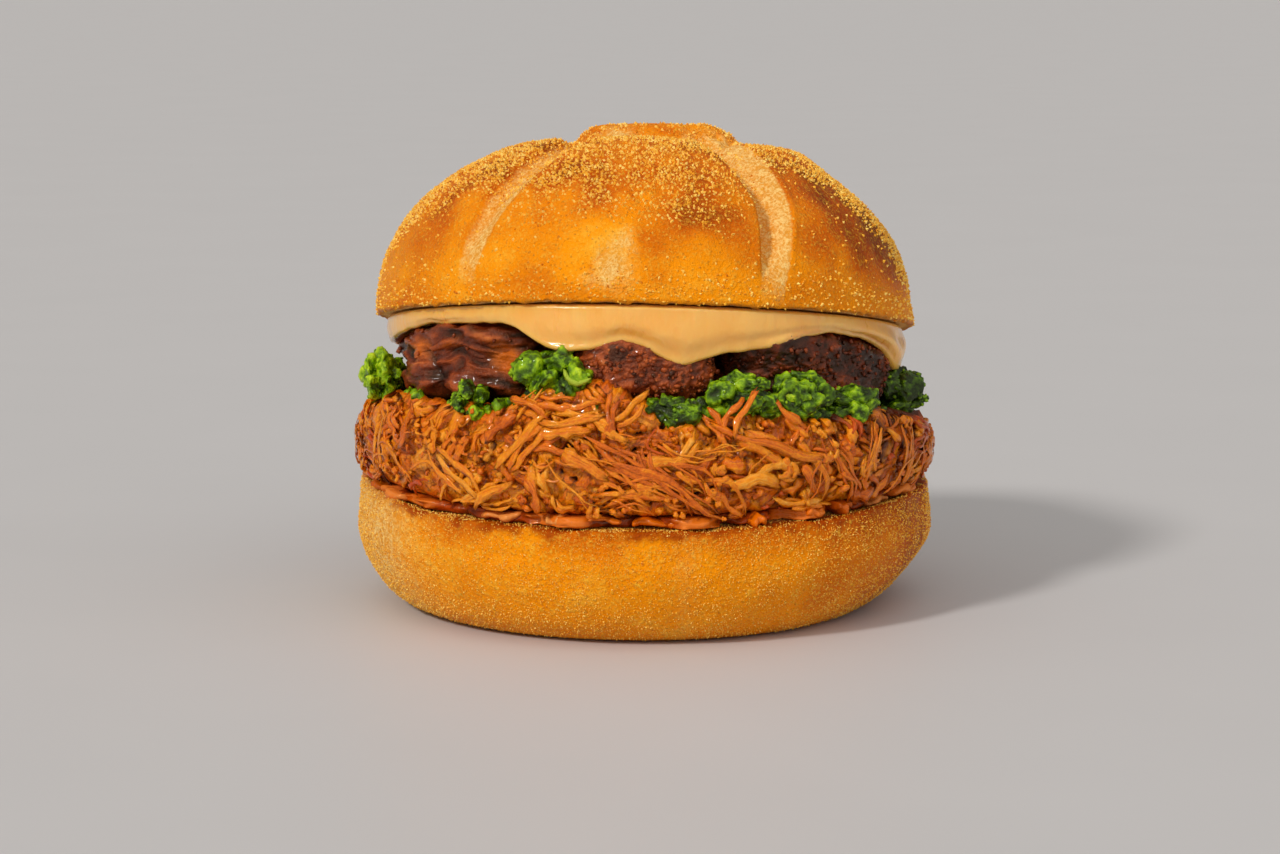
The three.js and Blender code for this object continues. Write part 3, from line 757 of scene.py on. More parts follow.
def groove_cuts(azimuth, radius, climb):
    """Depth of the cuts between the lobes, and the floury bands they leave bare."""
    depth = 0
    bare = 0
    for azimuths, widths, deep, start in CRUST.grooves:
        wide = np.interp(climb, CRUST.groove_climbs, widths)
        line = np.interp(climb, CRUST.groove_climbs, azimuths)
        share = np.radians(turn_between(azimuth, line)) * radius / wide
        # The lobe on the left stands steeply over the cut, which rises gently to a crisp edge.
        cut = smoothstep(share, -1.25, -0.8) * (1 - smoothstep(share, -0.55, 1.08))
        cut = cut - 0.09 * np.exp(-((share - 1.14) / 0.16) ** 2)
        inner = smoothstep(radius, UPPER.button_radius, UPPER.button_radius + 5)
        depth = depth + deep * cut * smoothstep(climb, start, start + 0.2) * inner
        band = smoothstep(share, -1.12, -0.9) * (1 - smoothstep(share, 0.86, 1.02))
        band = band * (0.62 + 0.38 * smoothstep(share, -0.4, 0.75))
        bare = np.maximum(bare, band * smoothstep(climb, start - 0.08, start + 0.08) * inner)
    return depth, bare


def across_lobe(azimuth, climb):
    """0 at the grooves and 1 in the middle of a lobe."""
    lines = [np.interp(climb, CRUST.groove_climbs, groove[0]) for groove in CRUST.grooves]
    behind = np.min([(azimuth - line) % 360 for line in lines], axis=0)
    ahead = np.min([(line - azimuth) % 360 for line in lines], axis=0)
    return np.sin(math.pi * behind / np.maximum(behind + ahead, 1))


def sunken(azimuth, radius):
    """How far the lobes sank in."""
    return sum(
        deep * np.exp(-(turn_between(azimuth, at) / wide) ** 2 - ((radius - middle) / reach) ** 2)
        for at, middle, deep, wide, reach in UPPER.sunken
    )


def crust_relief(azimuth, radius, height, climb):
    """How far the crust stands off the plain dome, as in the solid but with sharper cuts."""
    place = around(azimuth, radius, height)
    x, y, _ = np.moveaxis(place, -1, 0)
    cuts, bare = groove_cuts(azimuth, radius, climb)
    swell = UPPER.unevenness * uneven(x / 11, y / 11, height / 11) - cuts
    from_button = np.hypot(x - UPPER.button_off, y) + 1.2 * noise(place, 7, 2, 2)
    ring = np.exp(-((from_button - UPPER.ring_radius) / UPPER.ring_width) ** 2)
    edge = UPPER.button_radius - UPPER.button_edge, UPPER.button_radius + UPPER.button_edge
    button = 1 - smoothstep(from_button, *edge)
    torn = smoothstep(from_button, *edge) * (1 - smoothstep(from_button, *CRUST.torn_ends))
    swell = swell - UPPER.ring_dip * ring - sunken(azimuth, radius)
    level_top = CRUST.button_dish * ((from_button / UPPER.button_radius) ** 2 - 1)
    swell = swell + button * (UPPER.button_rise - 0.1 + level_top + 0.3 * noise(place, 6, 4, 2))
    swell = swell + torn * 0.8 * noise(place, 3.2, 6, 2)
    pillow = (across_lobe(azimuth, climb) ** 0.7 - 0.8) * smoothstep(climb, 0.1, 0.4)
    pillow = pillow * smoothstep(radius, 20, 30)
    pale = np.clip(humps(azimuth, CRUST.torn_pale) + 0.35 * noise(place, 5, 12, 2), 0, 1)
    return swell + CRUST.pillow * pillow, np.maximum(bare, 0.95 * torn * pale), np.maximum(torn, button)


def crust_crack(azimuth, climb):
    """A thin crack beside the pale spot of the front lobe."""
    foot, head, low, high = CRUST.crack
    share = np.clip((climb - low) / (high - low), 0, 1)
    off = turn_between(azimuth, mix(foot, head, share) + 0.9 * np.sin(share * 9))
    ends = smoothstep(climb, low - 0.01, low + 0.02) * (1 - smoothstep(climb, high - 0.03, high))
    return np.exp(-(off / 0.35) ** 2) * ends


def on_dome(azimuth, climb):
    """Crust at an azimuth and a climb, 0 at the cut edge and 1 at the top, in the dome's frame."""
    power = 2 / UPPER.bulge
    angle = climb * math.pi / 2
    share_out, share_up = np.cos(angle) ** power, np.sin(angle) ** power
    radius, height = UPPER.radius * share_out, UPPER.rise * share_up
    swell, bare, ring = crust_relief(azimuth, radius, height, climb)
    plain = around(azimuth, radius, height)
    smooth_side = 1 - smoothstep(climb, 0.2, 0.5)
    fine = 0.16 * noise(plain, 6, 3, 2) + 0.1 * noise(plain, 1.9, 5, 2) * (1 - 0.6 * smooth_side)
    fine = fine - 0.5 * bare * np.maximum(noise(plain, 1.5, 8, 2) - 0.1, 0)
    swell = swell + fine - 0.45 * crust_crack(azimuth, climb)
    swell = swell * smoothstep(height, 0, 5)
    outward = share_out ** (UPPER.bulge - 1) / UPPER.radius
    upward = share_up ** (UPPER.bulge - 1) / UPPER.rise
    push = swell / np.hypot(outward, upward)
    return around(azimuth, radius + push * outward, height + push * upward), bare, ring


def seeded_share(azimuth, climb, bare, ring, place):
    """How thick the semolina lies: on the lobes' crests and flanks, and finely along the rim."""
    listed = np.array(CRUST.seeded_from)
    start = np.interp(azimuth, listed[:, 0], listed[:, 1], period=360)
    patchy = 0.75 + 0.55 * noise(place, 5, 21, 2)
    start = start + 0.05 * noise(place, 7, 22)
    thick = smoothstep(climb, start - 0.1, start + 0.07) * (1 - 0.8 * ring)
    rim = 0.22 * (1 - smoothstep(climb, 0.03, 0.11))
    return np.clip(thick * patchy + rim + 0.03, 0.01, 1.3) * (1 - 0.92 * bare)


def upper_crust_shape(rows=112, columns=410):
    """Dome, ragged cut rim and cut face of the upper half, with its masks."""
    turn = np.linspace(-math.pi, math.pi, columns, endpoint=False)[None]
    azimuth = np.degrees(turn - 0.4 * np.sin(turn))  # more corners at the front
    climb = np.linspace(0.005, 0.985, rows)[:, None] + 0 * azimuth
    dome, bare, ring = on_dome(azimuth, climb)
    ragged = 0.35 * noise(around(azimuth, 53, 0), 1.6, 31, 2)
    cut_rows = [around(azimuth, radius, 0.1) for radius in (6, 16, 26, 36)]
    for inset, height, share in CRUST.cut_rim:
        out = UPPER.radius - inset + 0.5 * ragged * share
        cut_rows.append(around(azimuth, out, height + ragged * share))
    rings = np.concatenate(cut_rows + [dome])
    seeded = seeded_share(azimuth, climb, bare, ring, dome)
    dark_side = humps(azimuth, CRUST.upper_toast)
    warp = noise(dome, 4, 43, 2)
    spots = patches_at(azimuth + 2.4 * warp, climb + 0.03 * warp, CRUST.smooth_spots)
    toast = 0.14 + 0.6 * seeded + 0.3 * smoothstep(climb, 0.06, 0.3) - 0.5 * spots - 0.22 * ring
    toast = toast + patches_at(azimuth, climb, CRUST.browner)
    toast = toast + dark_side * smoothstep(climb, 0.02, 0.16) * (1 - 0.5 * smoothstep(climb, 0.5, 0.8))
    toast = toast + 0.34 * noise(dome, 10, 41, 3) + 0.6 * crust_crack(azimuth, climb)
    masks = {
        "toast": toast,
        "flour": np.clip(bare + 0.8 * np.clip(spots, 0, 1) + 0.14 * ring, 0, 1),
        "rim": 0.7 * (1 - smoothstep(climb, 0.0, 0.01)),
        "seeded": seeded,
        "crumb": np.zeros_like(seeded),
        "stain": np.zeros_like(seeded),
    }
    # On the cut face there is crumb, and its outermost rows belong to the rim.
    below = {name: np.zeros((len(cut_rows), columns)) for name in masks}
    below["crumb"][:-2] = 1
    below["rim"][-3:] = 0.5
    below["seeded"][-2:] = 0.05
    for name, values in masks.items():
        masks[name] = np.concatenate([below[name], values])
    corners, faces, masks = closed_shape(rings, masks)
    return corners @ UPPER_TURN.T + (0, 0, UPPER.cut_height), faces, masks


def lower_profile():
    """Radius and height of the lower half's outline, from the middle of its foot to its cut face."""
    up = LOWER.widest * (1 - np.cos(np.linspace(0, 1, 26) * math.pi / 2))
    out = np.sqrt(1 - (1 - up / LOWER.widest) ** LOWER.roundness)
    wall = np.stack([mix(LOWER.foot_radius, LOWER.radius, out), up], axis=1)
    foot = np.array([(radius, 0) for radius in (8, 20, 30, 38, 42)])
    side_up = np.linspace(LOWER.widest, LOWER.cut_height - LOWER.rim_round, 14)[1:]
    side_share = (side_up - LOWER.widest) / (side_up[-1] - LOWER.widest)
    side = np.stack([mix(LOWER.radius, LOWER.rim_radius, side_share ** 1.6), side_up], axis=1)
    turn = np.linspace(0, math.pi / 2, 7)[1:]
    rim = np.stack([
        LOWER.rim_radius - LOWER.rim_round * (1 - np.cos(turn)),
        LOWER.cut_height - LOWER.rim_round * (1 - np.sin(turn)),
    ], axis=1)
    face = np.array([(radius, LOWER.cut_height) for radius in (55.2, 54.3, 53.2, 50, 40, 24, 8)])
    return np.concatenate([foot, wall, side, rim, face])


def lower_crust_shape(columns=330):
    """Foot, wall, rim and cut face of the lower half, with its masks."""
    azimuth = np.linspace(-180, 180, columns, endpoint=False)[None]
    radius, height = (part[:, None] for part in lower_profile().T)
    plain = around(azimuth, radius, height)
    x, y, z = np.moveaxis(plain, -1, 0)
    up = z / LOWER.cut_height
    wall = smoothstep(np.hypot(x, y), LOWER.foot_radius, LOWER.foot_radius + 8)
    swell = 1 + LOWER.unevenness * wall * uneven(x / 14, y / 14, z / 14)
    swell = swell - humps(azimuth, CRUST.drawn_in) * (1 - smoothstep(z, 1, 15))
    lip = lip_rise(x, y) * smoothstep(up, 0.6, 1)
    rings = np.stack([x * swell, y * swell, z + LOWER.cut_slope * y * up + lip], axis=-1)
    inside = smoothstep(-radius, -53.5, -51) * (height > LOWER.widest)
    fine = (0.22 * noise(plain, 7, 51, 2) + 0.1 * noise(plain, 1.8, 52, 2)) * wall * (1 - inside)
    on_rim = smoothstep(up, 0.9, 1) * smoothstep(radius, 52, 55)
    ragged = on_rim * 0.32 * noise(plain, 2.4, 53, 2)
    outward = around(azimuth, 1, 0)
    rings = rings + outward * (fine - 0.25)[..., None] * wall[..., None]
    rings[..., 2] += ragged
    rings[..., 2] = np.maximum(rings[..., 2], 0)
    facing = smoothstep(radius, 38, 44) * (1 - inside)
    stained = humps(azimuth, CRUST.stained)
    depth = 1.2 + 2.2 * stained + 1.0 * noise(around(azimuth, 57, 0), 6, 54, 2)
    from_rim = LOWER.cut_height - z + 1.2 * noise(plain, 2.2, 57, 2)
    stain = facing * (1 - smoothstep(from_rim, -0.2 * depth, 1.3 * depth))
    stain = stain * np.clip(0.4 + 0.8 * stained, 0, 1)
    # The lower half's left end is paler partly from painted light, through the toast and flour humps.
    toast = 0.2 + humps(azimuth, CRUST.lower_toast)
    toast = toast + 0.3 * noise(plain, 11, 55, 3) + 0.25 * smoothstep(up, 0.7, 1)
    masks = {
        "toast": toast,
        "flour": humps(azimuth, CRUST.lower_flour),
        "rim": 0,
        "stain": stain,
        "crumb": inside,
        "seeded": facing * np.clip(0.6 + 0.5 * noise(plain, 6, 56, 2), 0.1, 1) * smoothstep(up, 0.0, 0.04),
    }
    return closed_shape(rings, masks)


# ---------------------------------------------------------------- braised onion

def onion_finish(filling):
    finish = Finish("braised onion")
    film = finish.speckle(3.5, detail=4)
    fine = finish.speckle(0.5, detail=3)
    slab = (finish.mask("slab") * (0.7 + film * 0.6)).between(0.2, 0.8)
    wet = finish.blend(film.between(0.35, 0.65), filling.onion_sauce_dark, filling.onion_sauce)
    paleness = (finish.mask("tint") + film * 0.6 - 0.4).between(0, 1)
    pale = finish.blend(paleness, filling.onion_amber, filling.onion_pale)
    colour = finish.blend(slab, wet, pale)
    bump = finish.relief(fine * 0.4 + film, 0.3)
    finish.surface(Base_Color=colour, Roughness=0.2 + fine * 0.2, Normal=bump)
    finish.surface(Specular_IOR_Level=0.35, Specular_Tint=(1, 0.7, 0.4, 1))
    finish.surface(Coat_Weight=0.25, Coat_Roughness=0.08, Coat_Tint=(1, 0.85, 0.65, 1))
    return finish


def onion_layer_shape(columns=300):
    """Wet layer with the slabs' swellings, like its solid."""
    thick = ONION.thick
    azimuth = np.linspace(-180, 180, columns, endpoint=False)[None]
    turn = np.linspace(-math.pi / 2, math.pi / 2, 10)[:, None]
    sides = ONION.radius - 0.55 * (1 - np.cos(turn)), thick * (0.5 + 0.5 * np.sin(turn))
    radius = np.concatenate([[[10], [30], [46], [51]], sides[0], [[51], [46], [30], [10]]])
    height = np.concatenate([np.zeros((4, 1)), sides[1], np.full((4, 1), thick)])
    slab = 0
    for at, half, reach in ONION.slabs:
        inside = 1 - smoothstep(np.abs(turn_between(azimuth, at)), half - 2, half + 2)
        slab = np.maximum(slab, inside * (reach - ONION.radius))
    lumps = noise(around(azimuth, 54, height * 3), 2.6, 61, 2)
    gap = smoothstep(noise(around(azimuth, 54, 0), 6.5, 63, 2), 0.05, 0.5)
    edge = slab * (1 - gap) + ONION.unevenness * uneven(azimuth / 7, 0, 0) + 0.7 * lumps - 1.8 * gap
    out = radius + edge * radius / ONION.radius
    flat = around(azimuth, out, 0)
    x, y = flat[..., 0], flat[..., 1]
    lip = lip_rise(x * 1.02, y * 1.02) * (1 - height / thick)
    flat[..., 2] = cut_face(x, y) + CLEAR + height + lip
    tints = np.clip(slab / 2 + 0.3 * lumps, 0, 1)
    return closed_shape(flat, {"slab": 0.75 * tints, "tint": 0.3 * tints})


def onion_slabs(count, draw):
    """Flat soft slices that lie in the layer and show at its edge."""
    parts = []
    for i in range(count):
        azimuth = (i * GOLDEN_TURN * 360) % 360 - 180
        half = draw.uniform(1.6, 5.5)
        high = draw.uniform(0.5, 1.1)
        reach = draw.uniform(54.2, 56.1)
        tilt = draw.uniform(-0.09, 0.09)
        lift = draw.uniform(-0.3, 0.6)
        ends = np.linspace(0.03, 0.97, 17)[:, None] * math.pi
        section = np.linspace(0, 2 * math.pi, 14, endpoint=False)[None]
        share, ring = -np.cos(ends), np.sin(ends) ** 0.4
        flare = 1 + 0.25 * np.sin(share * 5 + i) + 0.12 * np.sin(share * 13 + 3 * i)
        turn = azimuth + share * half
        out = reach - 2.4 + 2.4 * ring * np.sign(np.cos(section)) * np.abs(np.cos(section)) ** 0.8
        out = out + 0.45 * np.sin(share * 7 + 2 * i) + 0.2 * np.sin(share * 17 + i)
        level = high * ring * flare * np.sign(np.sin(section)) * np.abs(np.sin(section)) ** 0.8
        flat = around(turn, out, 0)
        x, y = flat[..., 0], flat[..., 1]
        middle = cut_face(x, y) + lip_rise(x, y) * 0.6 + CLEAR + 0.95 + lift + tilt * share * half
        sag = 0.35 * np.sin(share * 4 + 5 * i)
        flat[..., 2] = middle + sag + level
        masks = {"slab": draw.uniform(0.45, 1), "tint": draw.uniform(0, 1) ** 2}
        parts.append(closed_shape(flat, masks))
    return parts


# ---------------------------------------------------------------- pulled meat

def core_radius(azimuth, share):
    belly = HEAP.belly * np.sin(math.pi * np.clip(share, 0, 1))
    return HEAP.core_radius + belly + HEAP.unevenness * uneven(azimuth / 9, share * 4, 0)


def heap_range(azimuth):
    """Foot and top of the heap at its rim."""
    x, y, _ = np.moveaxis(around(azimuth, HEAP.core_radius, 0), -1, 0)
    return heap_foot(x, y), heap_top(x, y) + humps(azimuth, HEAP.mounds)


def chunk_layer(arc, level, size, slim, salt):
    """Chunks laid over each other on a plane: at each point the topmost one's height above the
    plane, the places along and across it, and its own draw."""
    corner = np.floor(np.stack([arc / size, level / size, 0 * arc], axis=-1)).astype(np.int64)
    top = np.full(arc.shape, -1.2)
    along, beside, draw = np.zeros((3, *arc.shape))
    swirl = 75 * noise(np.stack([arc, level, 0 * arc], axis=-1), 9, salt + 9)
    for step, rise in np.ndindex(5, 5):
        cell = corner + (step - 2, rise - 2, 0)
        draws = [hashed(cell, salt + k) for k in range(7)]
        angle = np.radians(swirl + mix(-65, 65, draws[2]))
        x = arc - (cell[..., 0] + draws[0]) * size
        y = level - (cell[..., 1] + draws[1]) * size
        run = x * np.cos(angle) + y * np.sin(angle)
        side = y * np.cos(angle) - x * np.sin(angle) + mix(-0.4, 0.4, draws[6]) * run * run / size
        long = size * mix(0.6, 1.5, draws[3])
        wide = size * slim * mix(0.6, 1.5, draws[4])
        inside = 1 - np.abs(run / long) ** 5 - (side / wide) ** 2
        height = 0.75 * wide * np.sqrt(np.maximum(inside, 0)) + 1.1 * draws[5]
        above = (inside > 0) & (height > top)
        top, along, beside, draw = (
            np.where(above, new, old)
            for new, old in ((height, top), (run, along), (side, beside), (draws[6], draw))
        )
    return top, along, beside, draw


def matted_meat(azimuth, level):
    """Relief of the heap's side, pressed together from large chunks, small ones and shreds."""
    arc = np.radians(azimuth) * HEAP.arc_radius
    place = np.stack([arc, level, 0 * arc], axis=-1)
    arc = arc + 0.7 * noise(place, 2.4, 471, 2)
    level = level + 0.7 * noise(place, 2.4, 474, 2)
    layers = [chunk_layer(arc, level, *kind) for kind in CHUNK_KINDS]
    layers[-1][0][...] += SHREDS_RAISED
    highest = np.argmax([layer[0] for layer in layers], axis=0)
    top, along, beside, draw = (np.choose(highest, values) for values in zip(*layers))
    ridges = 0.1 * np.cos(beside * 5.2 + 9 * draw) + 0.16 * noise(place, 1.1, 477, 2)
    seam = smoothstep(180 - np.abs(azimuth), 0, 3)  # the chunks to its left and right differ
    return (top + ridges) * seam, along, beside, draw


def held_in(place, soft=0.8):
    """Places whose radius comes softly to rest inside the heap's reach."""
    radius = np.hypot(place[..., 0], place[..., 1])
    start = HEAP.reach - soft
    held = np.where(radius > start, HEAP.reach - soft * np.exp(-(radius - start) / soft), radius)
    return place * np.stack([held / radius, held / radius, np.ones_like(radius)], axis=-1)


def heap_core_shape(rows=50, columns=720):
    """The matted mass of the heap, on which the free strands lie."""
    turn = np.linspace(-math.pi, math.pi, columns, endpoint=False)[None]
    azimuth = np.degrees(turn - 0.35 * np.sin(turn)) + np.zeros((rows, 1))
    share = np.linspace(0, 1, rows)[:, None] + 0 * azimuth
    low, high = heap_range(azimuth)
    level = share * (high - low)
    relief, along, beside, draw = matted_meat(azimuth, level)
    over = 0.98 * np.clip((share - 0.84) / 0.16, 0, 1)
    under = 0.98 * np.clip((0.1 - share) / 0.1, 0, 1)
    inset = 2.6 * (1 - np.sqrt(1 - over ** 2)) + 1.3 * (1 - np.sqrt(1 - under ** 2))
    out = core_radius(azimuth, share) - 1.9 - inset
    side = around(azimuth, out + relief * np.sqrt(1 - over ** 2), low + level + relief * over)
    ends = np.array([12, 30, 44, 50])[:, None] + 0 * azimuth[:1]
    foot, top = around(azimuth[:1], ends, 0), around(azimuth[:1], ends, 0)
    foot[..., 2] = heap_foot(foot[..., 0], foot[..., 1])
    top[..., 2] = heap_top(top[..., 0], top[..., 1])
    flat = np.concatenate([foot, held_in(side), top[::-1]])
    # Painted shade: the recesses between the chunks are darkened.
    deep = 1 - smoothstep(relief, -0.4, 1.5)
    masks = {
        "tint": draw,
        "inner": deep + humps(azimuth, HEAP.dark_end),
        "along": along,
        "round": beside + 11 * draw,
        "red": 0.9 * (draw > 0.95),
    }
    more_rows = ((len(foot), len(top)), (0, 0))
    masks = {name: np.pad(values, more_rows, mode="edge") for name, values in masks.items()}
    return closed_shape(flat, masks)


def bundle_plan(filling, draw):
    """One row for each strand: fibres that lie side by side, chunks of them and crumbs."""
    rows = []
    plain = filling.strand_width / MM / 2
    loose = filling.bundles
    for i in range(loose + len(BUNDLES)):
        if i < loose:
            azimuth = (i * GOLDEN_TURN * 360) % 360 - 180
            level = (i * SECOND_TURN) % 1
            grain = noise(around(azimuth, HEAP.arc_radius, level * 14)[None], 13, 401)[0]
            kind = draw.choice(len(STRAND_KINDS), p=[kind[0] for kind in STRAND_KINDS])
            _, counts, widths, lengths, ridges, stray, apart, lifts = STRAND_KINDS[kind]
            lean = 70 * grain + draw.normal(-6, stray)
            low, high = heap_range(azimuth)
            height = mix(low + 0.4, high + 0.2, level)
            count, wide, length = draw.integers(*counts), draw.uniform(*widths), draw.uniform(*lengths)
            lift = draw.uniform(*lifts)
            spread = 1.7 if length < 2.6 else 0
            wide = wide * plain
        else:
            azimuth, height, lean, length, wide, count = BUNDLES[i - loose]
            lift = 1.5
            ridges = 2 if wide < 0.7 else 4
            apart, spread = 4, 0
        red = i < loose and wide < 0.6 and draw.random() < 0.07 + humps(azimuth, HEAP.red_end)
        shade = draw.uniform(0.15, 0.9)
        bend = draw.normal(0, 0.11 if i < loose else 0.03) * length
        for k in range(count):
            rows.append((
                azimuth + draw.normal(0, spread), height + draw.normal(0, spread),
                lean + draw.normal(0, apart),
                length * draw.uniform(0.5, 1.05), (k - (count - 1) / 2) * wide * draw.uniform(1.3, 1.8),
                draw.normal(0, 0.12) * length, wide * draw.uniform(0.7, 1.3), lift + draw.normal(0, 0.35),
                bend + draw.normal(0, 0.06) * length,
                np.clip(shade + draw.normal(0, 0.12), 0, 1), red, i < loose, ridges,
            ))
    names = ("azimuth", "height", "lean", "length", "across", "slide", "wide", "lift", "bend", "shade",
             "red", "loose", "ridges")
    columns = {name: np.array(column, float) for name, column in zip(names, zip(*rows))}
    return Sizes(**{name: column[:, None, None] for name, column in columns.items()})


def on_heap(plan, share):
    """Middle line of each strand, which lies on the side of the heap."""
    lean = np.radians(plan.lean)
    along = share * plan.length / 2 + plan.slide
    sway = 0.4 * np.sin(share * 4.3 + plan.shade * 40) * np.minimum(plan.length / 14, 1)
    across = plan.across * (1 + 0.12 * share) + plan.bend * (1 - share * share) + sway
    level = along * np.sin(lean) + across * np.cos(lean)
    arc = along * np.cos(lean) - across * np.sin(lean)
    azimuth = plan.azimuth + np.degrees(arc / HEAP.arc_radius)
    low, high = heap_range(azimuth)
    height = plan.height + level
    floor = low + 0.5 - humps(azimuth, HEAP.hang)
    height = floor + np.logaddexp(0, (height - floor) / 0.5) * 0.5
    over = np.maximum(height - high, 0) * plan.loose
    height = height - over * 0.4
    lift = plan.lift + 0.35 * (1 - share * share) + 0.3 * np.sin(share * 3 + plan.shade * 60)
    radius = core_radius(azimuth, (height - low) / (high - low)) + lift - over * 1.6
    return around(azimuth, radius, height)


def strand_rings(plan, rows, columns, draw):
    """Rings of every strand: fibres stuck together, with ridges and frayed ends."""
    size = (len(plan.wide), 1, 1)
    share = np.linspace(-1, 1, rows)[None, :, None]
    angle = np.linspace(0, 2 * math.pi, columns, endpoint=False)[None, None]
    phase = draw.uniform(0, 2 * math.pi, size)
    fray = np.sin(plan.ridges * angle + phase * 3) + 0.6 * np.sin(2 * angle + phase)
    share = share * (1 + 0.13 * fray * share ** 2 * draw.uniform(0.2, 1.2, size))
    middle = on_heap(plan, share)
    ahead = on_heap(plan, share + 0.04) - on_heap(plan, share - 0.04)
    ahead /= np.linalg.norm(ahead, axis=-1, keepdims=True)
    outward = middle * (1, 1, 0)
    outward /= np.linalg.norm(outward, axis=-1, keepdims=True)
    side = np.cross(outward, ahead)
    side /= np.linalg.norm(side, axis=-1, keepdims=True)
    outward = np.cross(ahead, side)
    inner = np.clip(np.abs(share), 0, 1)
    tip = draw.uniform(0.3, 0.75, size)
    taper = tip + (1 - tip) * np.sqrt(1 - inner ** draw.uniform(2.5, 8, size))
    taper = taper * (1 - draw.uniform(0, 0.4, size) * (share + 1) / 2)
    ridged = 1 + 0.17 * np.cos(plan.ridges * angle + phase)
    ridged = ridged + 0.08 * np.cos((plan.ridges + 2) * angle + phase * 2)
    knots = 1 + 0.2 * np.sin(share * draw.uniform(3, 9, size) + phase)
    flat = draw.uniform(0.5, 0.8, size) * np.where(plan.ridges > 3, 0.8, 1.1)
    twist = draw.uniform(-0.4, 0.4, size) + share * draw.uniform(-0.5, 0.5, size)
    reach = plan.wide * taper * ridged * knots
    wide, thick = reach * np.cos(angle), reach * flat * np.sin(angle)
    sideways = wide * np.cos(twist) - thick * np.sin(twist)
    outwards = wide * np.sin(twist) + thick * np.cos(twist)
    away = side * sideways[..., None] + outward * outwards[..., None]
    lumps = noise(middle + away, 1.3, 405, 2)
    rings = held_in(middle + away * (1 + 0.5 * lumps)[..., None])
    x, y, z = np.moveaxis(rings, -1, 0)
    azimuth = azimuth_of(x, y)
    low, high = heap_range(azimuth)
    # How far each corner stands out of the heap's core; corners below it get painted shade between the
    # strands.
    stands = np.hypot(x, y) - core_radius(azimuth, (z - low) / (high - low))
    masks = {
        "tint": plan.shade,
        "inner": 0.95 * (1 - smoothstep(stands, -1.1, 1.3)) + humps(azimuth, HEAP.dark_end),
        "red": plan.red,
        "along": share * plan.length / 2,
        "round": angle * plan.wide + plan.shade * 57,
    }
    return rings, masks


def strand_shapes(filling, draw, rows=8, columns=9):
    """Every strand of the heap as (corners, faces, masks), cut into two lots."""
    plan = bundle_plan(filling, draw)
    corners, faces, masks = closed_shape(*strand_rings(plan, rows, columns, draw))
    lots = []
    for first in (0, 1):
        kept = {name: values[first::2].ravel() for name, values in masks.items()}
        lots.append((*stacked(corners[first::2], faces), kept))
    return lots


def pulled_finish(filling):
    """Glossy fibres: streaks that run along each strand, and painted shade between the strands."""
    finish = Finish("pulled meat")
    tinted = finish.mask("tint")
    sockets = {0: finish.mask("along") / 4, 1: finish.mask("round") / 0.42, 2: tinted * 30}
    run = finish.node("ShaderNodeCombineXYZ", {}, sockets)
    streaks = finish.speckle(1, detail=3, rough=0.6, place=run)
    film = finish.speckle(1.6, detail=4)
    fine = finish.speckle(0.55, detail=3, rough=0.6)
    shade = tinted * 0.34 + streaks * 0.7 + film * 0.4 + fine * 0.3 - 0.36
    stops = [
        (0.16, filling.strand_dark), (0.42, filling.strand_orange),
        (0.66, filling.strand_light), (0.88, filling.strand_pale),
    ]
    colour = finish.ramp(shade, stops)
    red = (finish.mask("red") * (0.5 + film)).between(0.2, 0.9) * 0.75
    colour = finish.blend(red, colour, filling.strand_red)
    # Painted shade: meat that lies inside the heap, between the strands, is darkened where shade falls.
    deep = (finish.mask("inner") * (0.55 + film * 0.9)).between(0.14, 0.84)
    colour = finish.blend(deep, colour, filling.strand_gap_shade)
    fibres = finish.relief(streaks, 0.34)
    bump = finish.relief(film * 0.5 + fine * 0.6, 0.45, under=fibres)
    finish.surface(Base_Color=colour, Roughness=0.24 + streaks * 0.2, Normal=bump)
    finish.surface(Specular_IOR_Level=0.5, Specular_Tint=(1, 0.7, 0.3, 1))
    finish.surface(Coat_Weight=0.42, Coat_Roughness=0.06, Coat_Tint=(1, 0.95, 0.85, 1))
    return finish


# ---------------------------------------------------------------- chopped greens

def greens_finish(filling):
    finish = Finish("chopped greens")
    depth = finish.mask("depth")
    film = finish.speckle(2.2, detail=4)
    fine = finish.speckle(0.35, detail=3)
    # Painted shade and highlight: depth darkens the recesses between the knobs and lightens the knobs that
    # stand out, up to a painted highlight on the tips.
    shade = depth * 1.05 + film * 0.5 + fine * 0.25 + finish.mask("tint") * 0.2 - 0.56
    stops = [
        (0.2, filling.greens_recess_shade), (0.45, filling.greens_dark),
        (0.66, filling.greens_bright), (0.95, filling.greens_tip_highlight),
    ]
    colour = finish.ramp(shade, stops)
    colour = finish.blend(finish.mask("stem"), colour, filling.greens_stem)
    bump = finish.relief(fine + film * 0.5, 0.3)
    finish.surface(Base_Color=colour, Roughness=0.2 + fine * 0.22, Normal=bump)
    finish.surface(Specular_IOR_Level=0.4, Specular_Tint=(0.85, 1, 0.5, 1))
    finish.surface(Coat_Weight=0.2, Coat_Roughness=0.08, Coat_Tint=(0.95, 1, 0.8, 1))
    return finish


